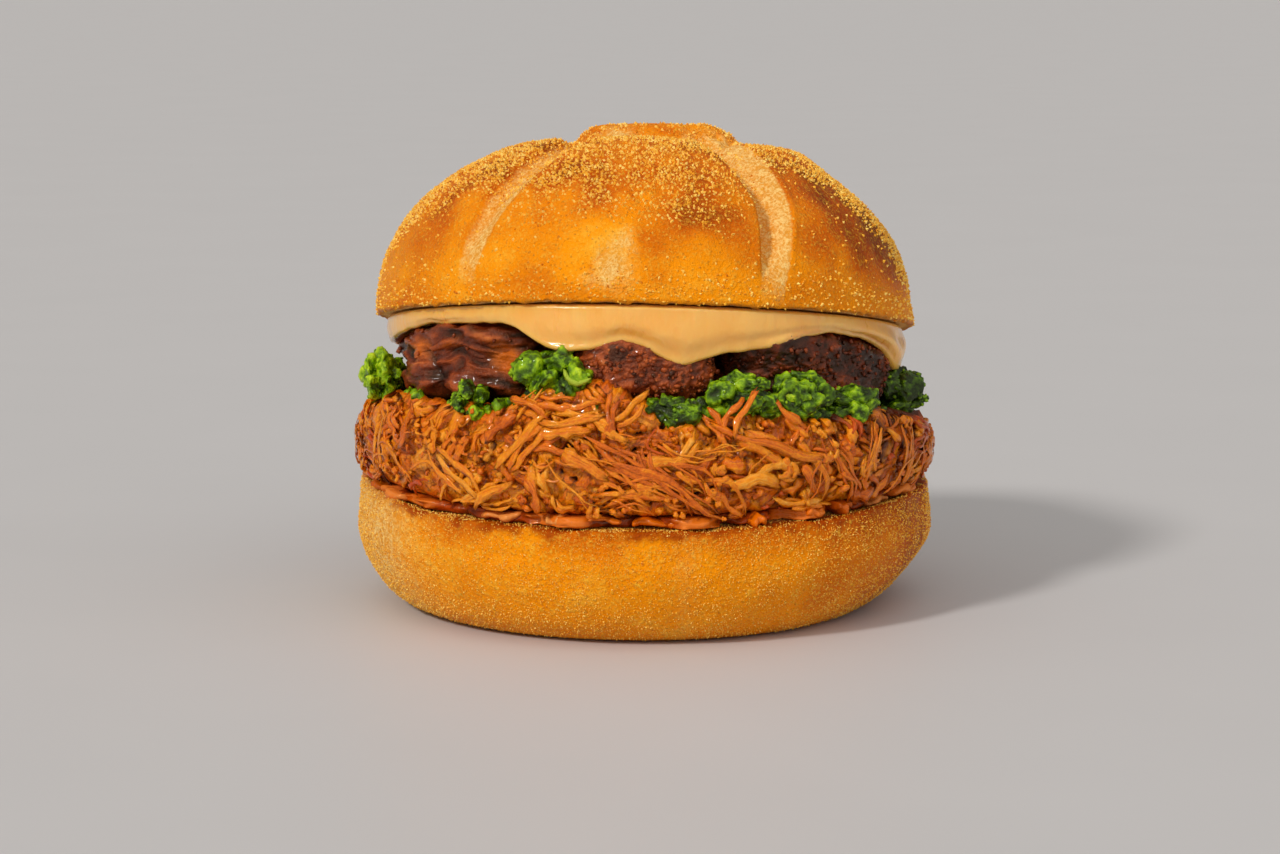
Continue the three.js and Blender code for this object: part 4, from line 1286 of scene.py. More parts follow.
def curly_sprig(shape, centre, halves, filling, salt, shade):
    """A ball drawn out to a sprig and covered with curly knobs."""
    directions, faces = shape
    points = centre + directions * halves
    points = points + 0.9 * noise_vectors(points, 3, salt + 40)
    normals = directions / halves
    normals /= np.linalg.norm(normals, axis=1, keepdims=True)
    size = filling.knob_size / MM
    warp = noise_vectors(points, 1.1, salt, 2)
    first, second = nearest_cells(points + 0.8 * warp, size, salt)
    small, _ = nearest_cells(points + 0.5 * warp, size * 0.5, salt + 11)
    crease = smoothstep(second - first, 0, 0.3)
    knobs = (0.6 - first) * size * 0.6 * (0.3 + 0.7 * crease) + (0.5 - small) * size * 0.3
    lumps = 0.75 * noise(points, 2.2, salt + 23, 2)
    # Painted shade: depth is low in the creases between knobs and high on their tops, which the finish paints
    # lighter.
    depth = np.clip(0.34 + 0.6 * (0.75 - first) + 0.45 * (0.55 - small) + 0.3 * lumps, 0, 1)
    return points + normals * (knobs + lumps)[:, None], faces, {"depth": depth, "tint": shade}


def leafy_clump(shape, azimuth, centre, halves, count, filling, salt, draw):
    """Sprigs packed into the form of a clump."""
    axes = np.stack([around(azimuth + 90, 1, 0), around(azimuth, 1, 0), (0, 0, 1)])
    parts = []
    turn = draw.uniform(0, 1)
    for k in range(count):
        level = 1 - 2 * (k + 0.5) / count
        angle = 2 * math.pi * (k * GOLDEN_TURN + turn)
        flat = math.sqrt(1 - level * level)
        direction = np.array([level, flat * math.sin(angle), flat * math.cos(angle)])
        size = np.array(halves) * draw.uniform(0.34, 0.6, 3)
        size = np.clip(size, 1.1, 3.6)
        reach = direction * np.maximum(np.array(halves) - 0.8 * size, 0.2) * draw.uniform(0.8, 1)
        place = centre + reach @ axes
        spread = np.clip(np.abs(axes.T @ size), 1.0, 3.4)
        shade = draw.uniform(0, 1) + humps(azimuth, GREENS.lightness)
        parts.append(curly_sprig(shape, place, spread, filling, salt + 13 * k, shade))
    return parts


def bent_stem(azimuth, radius, height, lean, length, half_width, bend):
    """A short pale stem with blunt ends."""
    share = np.linspace(-1, 1, 14)[:, None]
    section = np.linspace(0, 2 * math.pi, 12, endpoint=False)[None]
    angle = math.radians(lean)
    line = share * length / 2
    curve = bend * (1 - share * share)
    taper = half_width * np.sqrt(1.03 - share ** 6) * (1 + 0.1 * np.sin(share * 6))
    across = curve + taper * np.cos(section)
    level = line * math.sin(angle) + across * math.cos(angle)
    turn = np.degrees((line * math.cos(angle) - across * math.sin(angle)) / radius)
    out = radius + taper * np.sin(section) + 0.3 * (1 - share * share)
    rings = around(azimuth + turn, out, height + level)
    return closed_shape(rings, {"depth": 0.9, "tint": 0.8, "stem": 1.0})


def greens_sheet_shape(columns=220):
    """The layer itself, between the heap and the browned pieces."""
    azimuth = np.linspace(-180, 180, columns, endpoint=False)[None]
    turn = np.linspace(-math.pi / 2, math.pi / 2, 8)[:, None]
    out = np.concatenate([[[15], [40]], GREENS.radius + 0.6 * np.cos(turn), [[40], [15]]])
    level = np.concatenate([[[0], [0]], 0.5 + 0.5 * np.sin(turn), [[1], [1]]])
    wavy = 0.8 * uneven(azimuth / 8, 0, 0, 2.1) + 0.7 * noise(around(azimuth, 50, level * 2), 2.2, 81, 2)
    flat = around(azimuth, out + wavy * smoothstep(out, 30, 48), 0)
    x, y = flat[..., 0], flat[..., 1]
    flat[..., 2] = heap_top(x, y) + CLEAR + level * GREENS.thick
    # Painted shade: the layer under the clumps gets a low depth, so it is painted darker.
    return closed_shape(flat, {"depth": 0.3, "tint": 0.4})


def greens_shape(filling, draw):
    """Clumps, small clumps, single knobs, stems and the layer that they hang out of."""
    parts = []
    fine, coarse = ball(4), ball(3)
    for i, (azimuth, radius, height, *halves) in enumerate(GREENS.clumps):
        centre = around(azimuth, radius, height)
        shape = fine if abs(azimuth) < 100 else coarse
        count = 10 if halves[0] > 6 else 7
        parts += leafy_clump(shape, azimuth, centre, halves, count, filling, 100 + 200 * i, draw)
    corners, faces, _ = joined(parts)
    for i, azimuth in enumerate(SMALL_CLUMPS):
        halves = draw.uniform(2.0, 3.2, 3) * (1.4, 0.8, 0.7)
        centre = around(azimuth, 50.8, 0)
        centre[2] = heap_top(centre[0], centre[1]) + CLEAR + 0.6 + draw.uniform(0, 1.0)
        parts += leafy_clump(coarse, azimuth, centre, halves, 3, filling, 5000 + 90 * i, draw)
    points, normals = scattered(corners, faces, np.ones(len(corners)), filling.loose_knobs, draw)
    knobs = loose_bits(points, normals, (0.3, 0.6), 0.2, (0.7, 1.3), (0.3, 1.1, 7, 5), draw)
    for knob, triangles, outward in knobs:
        # Painted shade: the side of a knob that faces in is painted darker.
        depth = np.clip(0.45 + 0.35 * outward, 0, 1)
        parts.append((knob, triangles, {"depth": depth, "tint": draw.uniform(0, 1)}))
    parts.append(greens_sheet_shape())
    for stem in STEMS:
        parts.append(bent_stem(*stem))
    return joined(parts)


# ---------------------------------------------------------------- browned meat

def browning_space(x, y, level):
    """A height between the greens (-1) and the underside of the sauce (1)."""
    low = heap_top(x, y) + GREENS.thick + 3 * CLEAR
    high = upper_face(x, y) - SAUCE.sheet - 3 * CLEAR
    return mix(low, high, 0.5) + level * (high - low) / 2


def browned_body(name):
    """The solid's form, with most of its corners on the side that shows."""
    rows, columns = FRONT_GRID if name in BROWNED_FRONT else BACK_GRID
    at, half, middle, deep, rough, turn = BROWNED[name]
    ends = np.linspace(0.015, 0.985, rows)[:, None] * math.pi
    round_it = np.linspace(0, 2 * math.pi, columns, endpoint=False)[None]
    round_it = round_it - 0.7 * np.sin(round_it)
    x = -np.cos(ends) + 0 * round_it
    y, z = np.sin(ends) * np.cos(round_it), np.sin(ends) * np.sin(round_it)
    plan = (np.abs(x) ** PLAN_BOXY + np.abs(y) ** PLAN_BOXY) ** (SIDE_BOXY / PLAN_BOXY)
    lumpy = 1 + rough * uneven(x * 3.1, y * 3.1, z * 3.1, turn)
    stretch = lumpy * (plan + np.abs(z) ** SIDE_BOXY) ** (-1 / SIDE_BOXY)
    azimuth = at + x * stretch * half
    flat = around(azimuth, np.minimum(middle + y * stretch * deep, middle + deep), 0)
    flat[..., 2] = browning_space(flat[..., 0], flat[..., 1], np.clip(z * stretch, -1, 1))
    return closed_shape(flat, {})


def crumbly(corners, salt, size):
    """Relief of minced, browned meat: large lumps, crumbs and pits."""
    warp = noise_vectors(corners, 1.6, salt, 2)
    first, second = nearest_cells(corners + 0.8 * warp, size, salt + 7)
    small, next_small = nearest_cells(corners + 0.5 * warp, size * 0.42, salt + 17)
    lumps = noise(corners, 6.5, salt + 27, 2)
    crease = smoothstep(second - first, 0, 0.35)
    fine = smoothstep(next_small - small, 0, 0.4)
    relief = 0.6 * lumps + (0.55 - first) * size * 0.4 * (0.3 + 0.7 * crease)
    relief = relief + (0.55 - small) * size * 0.3 * (0.4 + 0.6 * fine) + 0.12 * noise(corners, 0.7, salt + 31)
    # Painted shade and light: depth is low in the creases and pits, which are darkened, and high on the
    # lumps' tops, which are painted lighter.
    depth = np.clip(0.3 + 0.5 * (0.75 - first) + 0.5 * (0.55 - small) + 0.25 * lumps, 0, 1)
    char = smoothstep(noise(corners, 5.5, salt + 37, 2), 0.25, 0.8)
    return relief, depth, char


def folded(corners, salt):
    """Relief of a roasted, folded piece: long overlapping folds, a seam and fleshy swellings."""
    azimuth = azimuth_of(corners[:, 0], corners[:, 1])
    arc = np.radians(azimuth) * 50  # length round the roll
    x, y = corners[:, 0], corners[:, 1]
    up = corners[:, 2] - 0.5 * (heap_top(x, y) + upper_face(x, y))
    radius = np.hypot(x, y)
    warp = noise(corners, 7, salt, 2)
    lay = np.stack([arc / 8, (up + 1.1 * warp) / 2.3, radius / 9], axis=-1)
    folds = 1 - np.abs(noise(lay, 1.0, salt + 3, 2))
    steps = (up / 3.6 + 0.35 * warp + arc / 40 + 0.3) % 1
    overlap = steps ** 2 * (1 - smoothstep(steps, 0.9, 1))
    swellings = noise(corners, 4.4, salt + 9, 2)
    fine = noise(lay * (2.2, 3.2, 2.2), 1.0, salt + 13, 2)
    crumbs, _ = nearest_cells(corners, 1.5, salt + 19)
    relief = 0.34 * (folds - 0.6) + 0.75 * (overlap - 0.35) + 1.0 * swellings + 0.3 * fine
    relief = relief + 0.42 * (0.5 - crumbs) + 0.14 * noise(corners, 0.8, salt + 23)
    seam = np.exp(-((arc + 47.5 + 0.55 * up + 1.2 * noise(corners, 3, salt + 21)) / 1.3) ** 2)
    seam = seam * (1 - smoothstep(up, 0.5, 3.5))
    relief = relief - 1.2 * seam
    # Painted shade and light: the folds' hollows are darkened and their ridges painted lighter.
    depth = np.clip(0.5 * folds + 0.45 * overlap + 0.22 * swellings + 0.1 * fine, 0, 1)
    char = np.maximum(seam, 0.8 * smoothstep(up, 3.6, 5.4) * smoothstep(swellings + 0.4 * fine, -0.5, 0.5))
    return relief, depth, char


def sauce_depth(azimuth):
    """How far below the upper half the sauce reaches."""
    listed = np.array(SAUCE.edge)
    return np.interp(azimuth, listed[:, 0], listed[:, 1], period=360)


def below_sauce(corners):
    """How far corners lie below the sauce's edge."""
    x, y, z = corners.T
    return upper_face(x, y) - z - sauce_depth(azimuth_of(x, y))


def browned_shape(name, filling, draw):
    """A browned piece with its relief and loose crumbs, flatter where the sauce covers it."""
    salt = 300 + 50 * list(BROWNED).index(name)
    corners, faces, _ = browned_body(name)
    amount = filling.loose_crumbs
    if name in BROWNED_FOLDED:
        relief, depth, char = folded(corners, salt)
        amount = amount // 16
    else:
        relief, depth, char = crumbly(corners, salt, filling.crumb_size / MM)
    bare = smoothstep(below_sauce(corners), -1, 0.8)
    push = (relief - 0.1) * (0.3 + 0.7 * bare) - 0.3 * (1 - bare)
    moved = corners + corner_normals(corners, faces) * push[:, None]
    flesh = np.clip(patches_at(azimuth_of(corners[:, 0], corners[:, 1]), corners[:, 2], FLESH), 0, 1)
    dark = DARKNESS[name]
    parts = [(moved, faces, {"depth": depth, "char": char, "flesh": flesh, "dark": dark})]
    shown = smoothstep(np.hypot(moved[:, 0], moved[:, 1]), 42, 48) * smoothstep(below_sauce(moved), 1.3, 2)
    points, normals = scattered(moved, faces, shown + 1e-6, amount, draw)
    crumbs = loose_bits(points, normals, (0.25, 0.6), 0.3, (0.6, 1.3), (0.35, 1.0, 5, salt), draw)
    for crumb, triangles, _ in crumbs:
        masks = {"depth": draw.uniform(0.3, 0.8), "char": draw.random() < 0.2, "dark": dark}
        parts.append((crumb, triangles, masks))
    return joined(parts)


def browned_finish(filling):
    finish = Finish("browned meat")
    film = finish.speckle(2.4, detail=4)
    fine = finish.speckle(0.4, detail=3, rough=0.65)
    # Painted shade and light: depth darkens the creases and lightens the highest crumbs and folds.
    shade = finish.mask("depth") * 0.7 + film * 0.4 + fine * 0.3 - finish.mask("dark") * 0.34 - 0.28
    stops = [
        (0.1, filling.browned_crease_shade), (0.34, filling.browned_dark),
        (0.6, filling.browned_mid), (0.88, filling.browned_lit_top),
    ]
    colour = finish.ramp(shade, stops)
    flesh = (finish.mask("flesh") * (0.55 + film * 0.9)).between(0.25, 0.9) * 0.85
    colour = finish.blend(flesh, colour, filling.browned_flesh)
    burnt = (finish.mask("char") * (0.5 + film)).between(0.3, 1.0) * 0.8
    colour = finish.blend(burnt, colour, filling.browned_char)
    bump = finish.relief(fine * 0.8 + film * 0.5, 0.34)
    finish.surface(Base_Color=colour, Roughness=0.2 + fine * 0.26, Normal=bump)
    finish.surface(Specular_IOR_Level=0.5, Specular_Tint=(1, 0.62, 0.4, 1))
    finish.surface(Coat_Weight=0.26, Coat_Roughness=0.06, Coat_Tint=(1, 0.88, 0.8, 1))
    return finish


# ---------------------------------------------------------------- cream sauce

def sauce_finish(filling):
    finish = Finish("cream sauce")
    broad = finish.speckle(7, detail=3)
    flow = finish.speckle(1, detail=3, place=finish.stretched(3, 3, 9))
    thin = finish.mask("thin")
    colour = finish.blend((broad * 0.6 + flow * 0.5).between(0.35, 0.75), filling.sauce_deep, filling.sauce)
    colour = finish.blend(thin.between(0.2, 1.0) * 0.55, colour, filling.sauce_thin)
    bump = finish.relief(flow * 0.7 + broad, 0.55)
    finish.surface(Base_Color=colour, Roughness=0.24 + flow * 0.1, Normal=bump)
    finish.surface(Coat_Weight=0.7, Coat_Roughness=0.05)
    finish.surface(Subsurface_Weight=0.5, Subsurface_Scale=0.0025, Subsurface_Radius=(1.0, 0.6, 0.3))
    return finish


def smoothed_round(values, reach):
    """Values (rows, columns) made smooth along the columns, which go round."""
    steps = np.arange(-3 * reach, 3 * reach + 1)
    weights = np.exp(-(steps / reach) ** 2)
    weights /= weights.sum()
    return sum(weight * np.roll(values, step, axis=1) for step, weight in zip(steps, weights))


def reach_under_sauce(azimuth, height, under):
    """Radius at which a level ray from outside meets the filling, or 0."""
    outside, deepest = 70, 30  # radius where each ray starts, and how far in it looks
    tree = BVHTree.FromPolygons(under[0].tolist(), under[1].tolist())
    found = np.zeros(azimuth.shape)
    for at in np.ndindex(azimuth.shape):
        start = Vector(around(azimuth[at], outside, height[at]))
        inward = Vector(around(azimuth[at], -1, 0))
        hit = tree.ray_cast(start, inward, deepest)[0]
        if hit is not None:
            found[at] = math.hypot(hit.x, hit.y)
    return found


def sauce_shape(filling, under, columns=340, rows=22):
    """Sheet under the bread whose edge runs down over the filling."""
    azimuth = np.linspace(-180, 180, columns, endpoint=False)[None]
    film = filling.film / MM
    edge = around(azimuth, SAUCE.radius, 0)
    top = upper_face(edge[..., 0], edge[..., 1]) - CLEAR
    depth = smoothed_round(sauce_depth(azimuth), 3) + 0.35 * noise(edge, 5, 91, 2)
    down = np.linspace(0, 1, rows)[:, None]
    height = top - 0.5 - down * (depth - 0.5)
    met = reach_under_sauce(azimuth + 0 * down, height, under)
    drip = np.maximum(depth - 4, 0)
    plain = SAUCE.radius + 0.15 * np.sin(down * math.pi) + 0.35 * uneven(azimuth / 10, 0, 0, 3.3)
    plain = plain + 0.09 * drip
    on_meat = met > SAUCE.meat_from
    plain = plain - 1.6 * smoothstep(down, 0.5, 1) * on_meat
    plain = plain + humps(azimuth, SAUCE.drip) * smoothstep(down, 0.1, 0.8)
    meat = np.minimum(met, SAUCE.meat_reach)
    cover = np.maximum(plain, meat + film * (1 - 0.6 * smoothstep(down, 0.6, 1)))
    for _ in range(4):
        cover = np.maximum(smoothed_round(cover, 5), meat + 0.4 * film)
        cover[1:-1] = 0.25 * cover[:-2] + 0.5 * cover[1:-1] + 0.25 * cover[2:]
    cover = smoothed_round(cover, 2)
    bead = np.linspace(0, math.pi, 7)[:, None]
    low_radius, low_height = cover[-1:], height[-1:]
    half = 0.5 * filling.bead / MM
    bead_radius = low_radius - half + half * np.cos(bead)
    bead_height = low_height - half * np.sin(bead)
    inner_height = np.linspace(0, 1, 5)[:, None]
    inner_radius = mix(low_radius - 2 * half, SAUCE.radius - 6, inner_height)
    inner_level = mix(low_height, top - SAUCE.sheet, inner_height)
    crown = ((SAUCE.radius - 0.2, -0.15), (SAUCE.radius - 0.9, 0.0))
    crown_radius = np.concatenate([0 * azimuth + radius for radius, _ in crown])
    crown_height = np.concatenate([top + up for _, up in crown])
    radii = [crown_radius[::-1], cover, bead_radius[1:], inner_radius[1:]]
    levels = [crown_height[::-1], height, bead_height[1:], inner_level[1:]]
    flat = around(azimuth, np.concatenate(radii), np.concatenate(levels))
    sheet = around(azimuth, np.array([12, 30, 44])[:, None], 0)
    sheet[..., 2] = upper_face(sheet[..., 0], sheet[..., 1]) - CLEAR
    rings = np.concatenate([sheet, flat, sheet[::-1] - (0, 0, SAUCE.sheet)])
    thin = np.zeros(rings.shape[:2])
    start = len(sheet) + len(crown)
    thin[start:start + rows] = smoothstep(down, 0.72, 1) * on_meat * (drip < 1.5)
    return closed_shape(rings, {"thin": thin})


# ---------------------------------------------------------------- settings

def colour_setting(name, red, green, blue, description):
    return bpy.props.FloatVectorProperty(
        name=name, description=description, default=tint(red, green, blue),
        subtype="COLOR", min=0, max=1,
    )


def length_setting(name, millimetres, description):
    return bpy.props.FloatProperty(
        name=name, description=description, default=millimetres * MM, min=0, unit="LENGTH",
    )


def count_setting(name, count, description):
    return bpy.props.IntProperty(name=name, description=description, default=count, min=1)


def strength_setting(name, strength, description):
    return bpy.props.FloatProperty(name=name, description=description, default=strength, min=0)


class FilledRollBread(bpy.types.PropertyGroup):
    """Crust and semolina."""

    golden: colour_setting("Golden", 255, 152, 0, "Smooth parts of the crust")
    toasted: colour_setting("Toasted", 204, 84, 0, "Browner parts of the crust")
    dark_toast: colour_setting("Dark toast", 128, 46, 0, "Darkest parts of the crust")
    pale_crust: colour_setting("Pale crust", 255, 196, 60, "Blisters and pale spots")
    floury: colour_setting("Flour", 255, 214, 132, "Bare floury bands in the grooves")
    floury_shade: colour_setting("Flour shade", 230, 152, 50, "Shade between the flour")
    burnt_rim: colour_setting("Burnt rim", 158, 84, 24, "Thin edge where the roll was cut")
    crumb: colour_setting("Crumb", 240, 200, 124, "Cut faces")
    sauce_stain: colour_setting("Sauce stain", 170, 66, 0, "Where sauce soaked into the rim")
    semolina: colour_setting("Semolina", 246, 182, 52, "Most of the grains")
    semolina_pale: colour_setting("Pale semolina", 255, 224, 122, "Grains that stayed pale")
    semolina_toasted: colour_setting("Toasted semolina", 212, 122, 24, "Grains that browned")
    grain_length: length_setting("Grain length", 0.86, "Length of a usual semolina grain")
    upper_grains: count_setting("Grains above", 30000, "Semolina grains on the upper half")
    lower_grains: count_setting("Grains below", 42000, "Semolina grains on the lower half")


class FilledRollFilling(bpy.types.PropertyGroup):
    """Meat, greens, onion and sauce."""

    strand_width: length_setting("Strand width", 1.5, "Width of a usual strand of pulled meat")
    bundles: count_setting("Bundles", 340, "Bundles of strands round the heap")
    strand_dark: colour_setting("Strand dark", 152, 48, 0, "Darkest streaks of a strand")
    strand_orange: colour_setting("Strand orange", 228, 106, 2, "Most of a strand")
    strand_light: colour_setting("Strand light", 250, 152, 12, "Light streaks of a strand")
    strand_pale: colour_setting("Strand pale", 255, 186, 78, "Palest fibres")
    strand_red: colour_setting("Strand red", 190, 50, 0, "Strands soaked in red sauce")
    # Painted shade that darkens the meat between the strands.
    strand_gap_shade: colour_setting("Strand deep", 86, 18, 0, "Wet meat between the strands")
    onion_sauce: colour_setting("Onion sauce", 186, 72, 4, "Sauce round the onion")
    onion_sauce_dark: colour_setting("Onion sauce dark", 74, 20, 2, "Deep sauce round the onion")
    onion_amber: colour_setting("Onion amber", 230, 112, 4, "Slices that took up the sauce")
    onion_pale: colour_setting("Onion pale", 238, 176, 98, "Slices that stayed pale")
    onion_slices: count_setting("Onion slices", 30, "Slices that show round the rim")
    knob_size: length_setting("Knob size", 1.15, "Size of the curly knobs of the greens")
    loose_knobs: count_setting("Loose knobs", 450, "Single knobs on the clumps")
    # Painted shade in the recesses between the leaves.
    greens_recess_shade: colour_setting("Greens deep", 20, 34, 0, "Recesses between the leaves")
    greens_dark: colour_setting("Greens dark", 68, 100, 0, "Lower parts of the leaves")
    greens_bright: colour_setting("Greens bright", 132, 172, 0, "Most of the leaves")
    # Painted highlight on the tips of the leaves.
    greens_tip_highlight: colour_setting("Greens tips", 200, 224, 36, "Tips of the leaves")
    greens_stem: colour_setting("Greens stem", 168, 186, 50, "Stems")
    crumb_size: length_setting("Crumb size", 2.3, "Size of the browned meat's crumbs")
    loose_crumbs: count_setting("Loose crumbs", 260, "Crumbs that stand out on a crumbly piece")
    # Painted shade in the creases of the browned meat.
    browned_crease_shade: colour_setting("Browned deep", 40, 12, 2, "Creases of the browned meat")
    browned_dark: colour_setting("Browned dark", 108, 40, 14, "Dark parts of the browned meat")
    browned_mid: colour_setting("Browned middle", 172, 78, 30, "Most of the browned meat")
    # Painted light on the highest crumbs and folds.
    browned_lit_top: colour_setting("Browned light", 222, 132, 66, "Highest crumbs and folds")
    browned_flesh: colour_setting("Browned flesh", 222, 112, 20, "Orange flesh that shows")
    browned_char: colour_setting("Browned char", 24, 14, 12, "Charred places")
    sauce: colour_setting("Sauce", 255, 190, 92, "Cream sauce")
    sauce_deep: colour_setting("Sauce deep", 255, 178, 74, "Thicker, warmer sauce")
    sauce_thin: colour_setting("Sauce thin", 232, 148, 70, "Where the film is thin over the meat")
    film: length_setting("Film", 0.55, "Thickness of the sauce over the meat")
    bead: length_setting("Bead", 1.5, "Thickness of the sauce's lower edge")


class FilledRollStage(bpy.types.PropertyGroup):
    """Floor, lights and camera."""

    floor: colour_setting("Floor", 206, 203, 202, "Plain floor")
    key_power: strength_setting("Key light", 1.7, "Strength of the light at the upper front left")
    top_power: strength_setting("Top light", 0.85, "Strength of the broad light above")
    fill_power: strength_setting("Fill light", 1.0, "Strength of the broad light at the front right")
    ambient: strength_setting("Ambient", 0.2, "Strength of the even light all round")
    camera_lens: bpy.props.FloatProperty(
        name="Lens", description="Focal length in millimetres", default=90, min=10,
    )
    camera_pitch: bpy.props.FloatProperty(
        name="Pitch", description="How far the camera looks down", default=math.radians(8.5),
        subtype="ANGLE",
    )
    camera_distance: length_setting("Distance", 640, "From the camera to the roll's middle")


# ---------------------------------------------------------------- operators

def scatter_semolina(half, crust, count, length_share, sides, bread):
    """Semolina on one half, which lies where its crust is seeded."""
    draw = np.random.default_rng(SEEDS[half])
    corners, faces, masks = crust
    points, normals = scattered(corners, faces, masks["seeded"], count, draw)
    above = points[:, 2] > CRUST.grains_from
    size = length_share * bread.grain_length / MM / 2
    grains = semolina_grains(points[above], normals[above], size, sides, draw)
    piece(f"{half}_semolina", semolina_finish(bread), grains, smooth=False)


class BuildUpperCrust(bpy.types.Operator):
    """Build the upper half of the roll with its semolina"""

    bl_idname = "filled_roll.upper_crust"
    bl_label = "Upper Crust"

    def execute(self, context):
        bread = context.scene.filled_roll_bread
        shape = upper_crust_shape()
        piece("upper_crust", bread_finish("upper crust", bread, 0.4), shape, ("top_roll",))
        scatter_semolina("upper", shape, bread.upper_grains, 1, 4, bread)
        return {"FINISHED"}


class BuildLowerCrust(bpy.types.Operator):
    """Build the lower half of the roll with its semolina"""

    bl_idname = "filled_roll.lower_crust"
    bl_label = "Lower Crust"

    def execute(self, context):
        bread = context.scene.filled_roll_bread
        shape = lower_crust_shape()
        piece("lower_crust", bread_finish("lower crust", bread, 0.6), shape, ("bottom_roll",))
        scatter_semolina("lower", shape, bread.lower_grains, 0.62, 3, bread)
        return {"FINISHED"}


class BuildOnion(bpy.types.Operator):
    """Build the wet layer of braised onion"""

    bl_idname = "filled_roll.onion"
    bl_label = "Braised Onion"

    def execute(self, context):
        filling = context.scene.filled_roll_filling
        draw = np.random.default_rng(SEEDS["onion"])
        shape = joined([onion_layer_shape()] + onion_slabs(filling.onion_slices, draw))
        piece("onion_layer", onion_finish(filling), shape, ("braised_onion",))
        return {"FINISHED"}


class BuildPulledMeat(bpy.types.Operator):
    """Build the heap of pulled meat from its strands"""

    bl_idname = "filled_roll.pulled_meat"
    bl_label = "Pulled Meat"

    def execute(self, context):
        filling = context.scene.filled_roll_filling
        finish = pulled_finish(filling)
        first, second = strand_shapes(filling, np.random.default_rng(SEEDS["strands"]))
        piece("heap_core", finish, heap_core_shape(), ("pulled_meat",))
        piece("meat_strands", finish, first)
        piece("more_meat_strands", finish, second)
        return {"FINISHED"}


class BuildGreens(bpy.types.Operator):
    """Build the chopped greens"""

    bl_idname = "filled_roll.greens"
    bl_label = "Chopped Greens"

    def execute(self, context):
        filling = context.scene.filled_roll_filling
        shape = greens_shape(filling, np.random.default_rng(SEEDS["greens"]))
        piece("greens", greens_finish(filling), shape, ("chopped_greens",))
        return {"FINISHED"}


class BuildBrownedMeat(bpy.types.Operator):
    """Build the browned pieces of meat"""

    bl_idname = "filled_roll.browned_meat"
    bl_label = "Browned Meat"

    def execute(self, context):
        filling = context.scene.filled_roll_filling
        finish = browned_finish(filling)
        draw = np.random.default_rng(SEEDS["browned"])
        for name in BROWNED:
            shape = browned_shape(name, filling, draw)
            piece(f"browned_{name}", finish, shape, (f"browned_meat_{name}",))
        return {"FINISHED"}


class BuildSauce(bpy.types.Operator):
    """Build the cream sauce that runs down over the browned meat"""

    bl_idname = "filled_roll.sauce"
    bl_label = "Cream Sauce"

    def execute(self, context):
        filling = context.scene.filled_roll_filling
        names = ["greens"] + [f"browned_{name}" for name in BROWNED]
        if any(name not in bpy.data.objects for name in names):
            raise RuntimeError("the sauce lies on the greens and the browned meat, so they come first")
        under = joined([mesh_in_millimetres(name) for name in names])
        shape = sauce_shape(filling, under)
        piece("sauce", sauce_finish(filling), shape, ("cream_sauce",))
        return {"FINISHED"}


def sky_light(name, towards, wide, strength):
    """A distant light in a direction, as wide as an angle in degrees."""
    data = bpy.data.lights.new(name, "SUN")
    data.angle = math.radians(wide)
    data.energy = strength
    data.color = (1.0, 0.98, 0.95)
    light = bpy.data.objects.new(name, data)
    light.location = Vector(towards)
    light.rotation_euler = Vector(towards).to_track_quat("Z", "Y").to_euler()
    bpy.context.scene.collection.objects.link(light)


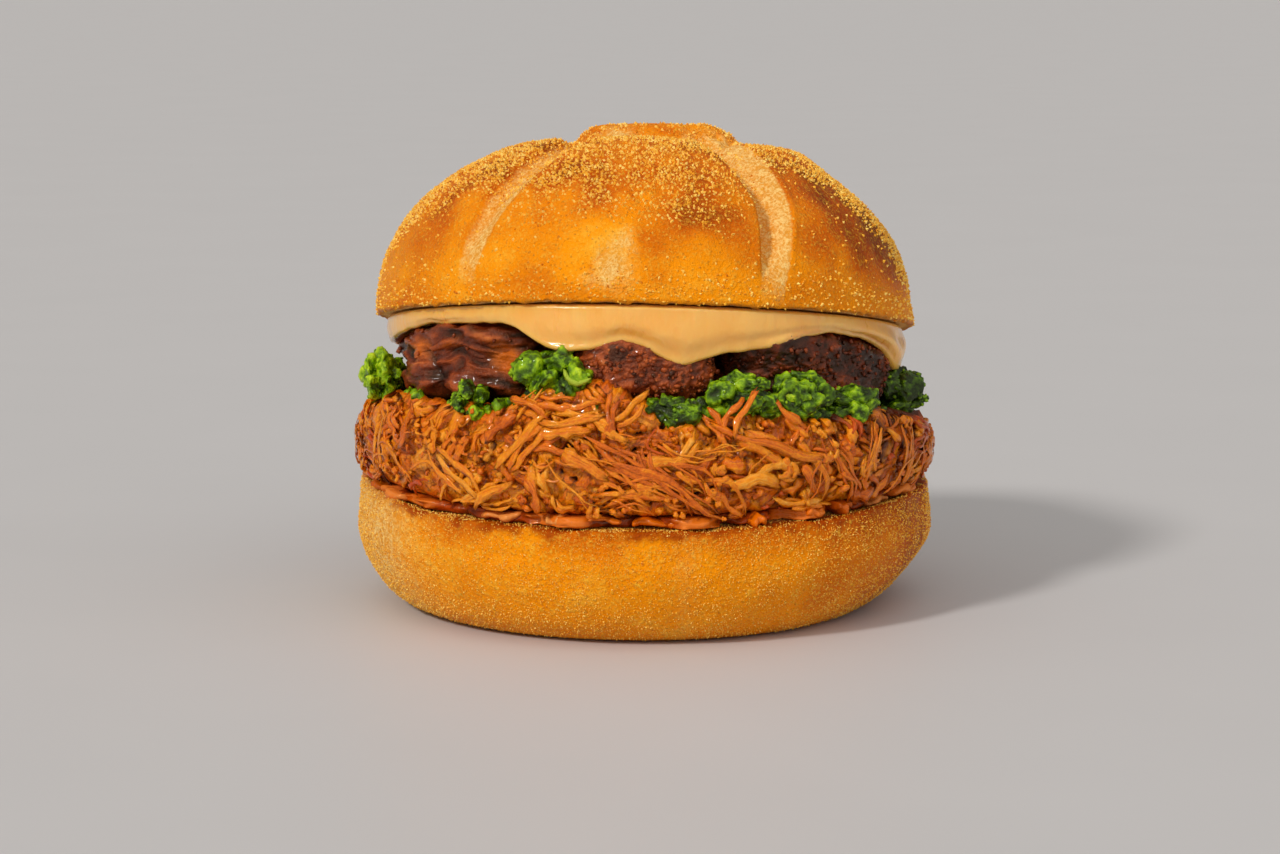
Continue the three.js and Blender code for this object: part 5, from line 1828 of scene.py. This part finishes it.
class BuildStage(bpy.types.Operator):
    """Build the floor, the lights and the camera"""

    bl_idname = "filled_roll.stage"
    bl_label = "Stage"

    def execute(self, context):
        stage = context.scene.filled_roll_stage
        self.add_floor(stage)
        for name, (towards, wide) in LIGHTS.items():
            sky_light(name, towards, wide, getattr(stage, f"{name}_power"))
        self.set_world(context, stage)
        self.add_camera(context, stage)
        context.scene.view_settings.view_transform = "Standard"
        return {"FINISHED"}

    @staticmethod
    def add_floor(stage):
        shape = bmesh.new()
        bmesh.ops.create_circle(shape, cap_ends=True, segments=96, radius=FLOOR_RADIUS)
        mesh = bpy.data.meshes.new("floor")
        shape.to_mesh(mesh)
        shape.free()
        finish = Finish("floor")
        shade = finish.speckle(60, detail=2)
        darker = tuple(part * 0.96 for part in stage.floor)
        finish.surface(Base_Color=finish.blend(shade, darker, stage.floor), Roughness=0.55)
        mesh.materials.append(finish.material)
        floor = bpy.data.objects.new("floor", mesh)
        floor.location.z = -0.05 * MM
        bpy.context.scene.collection.objects.link(floor)
        floor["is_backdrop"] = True

    @staticmethod
    def set_world(context, stage):
        world = bpy.data.worlds.new("studio")
        world.use_nodes = True
        background = world.node_tree.nodes["Background"]
        background.inputs["Color"].default_value = (1.0, 0.99, 0.98, 1)
        background.inputs["Strength"].default_value = stage.ambient
        context.scene.world = world

    @staticmethod
    def add_camera(context, stage):
        pitch = stage.camera_pitch
        data = bpy.data.cameras.new("camera")
        data.lens = stage.camera_lens
        data.sensor_width = 36
        data.clip_end = 50
        camera = bpy.data.objects.new("camera", data)
        back = Vector((0, -math.cos(pitch), math.sin(pitch)))
        camera.location = Vector(AIM) + back * stage.camera_distance
        camera.rotation_euler = (math.pi / 2 - pitch, 0, 0)
        context.scene.collection.objects.link(camera)
        context.scene.camera = camera


class FilledRollPanel(bpy.types.Panel):
    """Settings and build steps of the filled roll"""

    bl_idname = "FILLED_ROLL_PT_build"
    bl_label = "Filled Roll"
    bl_space_type = "VIEW_3D"
    bl_region_type = "UI"
    bl_category = "Filled Roll"

    def draw(self, context):
        for settings, steps in STEPS.items():
            box = self.layout.box()
            for step in steps:
                box.operator(step.bl_idname)
            group = getattr(context.scene, settings)
            for name in group.__annotations__:
                box.prop(group, name)


STEPS = {
    "filled_roll_bread": (BuildUpperCrust, BuildLowerCrust),
    "filled_roll_filling": (BuildOnion, BuildPulledMeat, BuildGreens, BuildBrownedMeat, BuildSauce),
    "filled_roll_stage": (BuildStage,),
}
SETTINGS = {
    "filled_roll_bread": FilledRollBread,
    "filled_roll_filling": FilledRollFilling,
    "filled_roll_stage": FilledRollStage,
}


def every_class():
    steps = [step for group in STEPS.values() for step in group]
    return [*SETTINGS.values(), *steps, FilledRollPanel]


def register():
    for one in every_class():
        bpy.utils.register_class(one)
    for name, group in SETTINGS.items():
        setattr(bpy.types.Scene, name, bpy.props.PointerProperty(type=group))


def unregister():
    for name in SETTINGS:
        delattr(bpy.types.Scene, name)
    for one in reversed(every_class()):
        bpy.utils.unregister_class(one)


def main():
    register()
    for steps in STEPS.values():
        for step in steps:
            group, name = step.bl_idname.split(".")
            getattr(getattr(bpy.ops, group), name)()
    boxes = {"cad": CAD_BOX, "visual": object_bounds()}
    lists = {name: [list(corner) for corner in box] for name, box in boxes.items()}


if __name__ == "__main__":
    main()
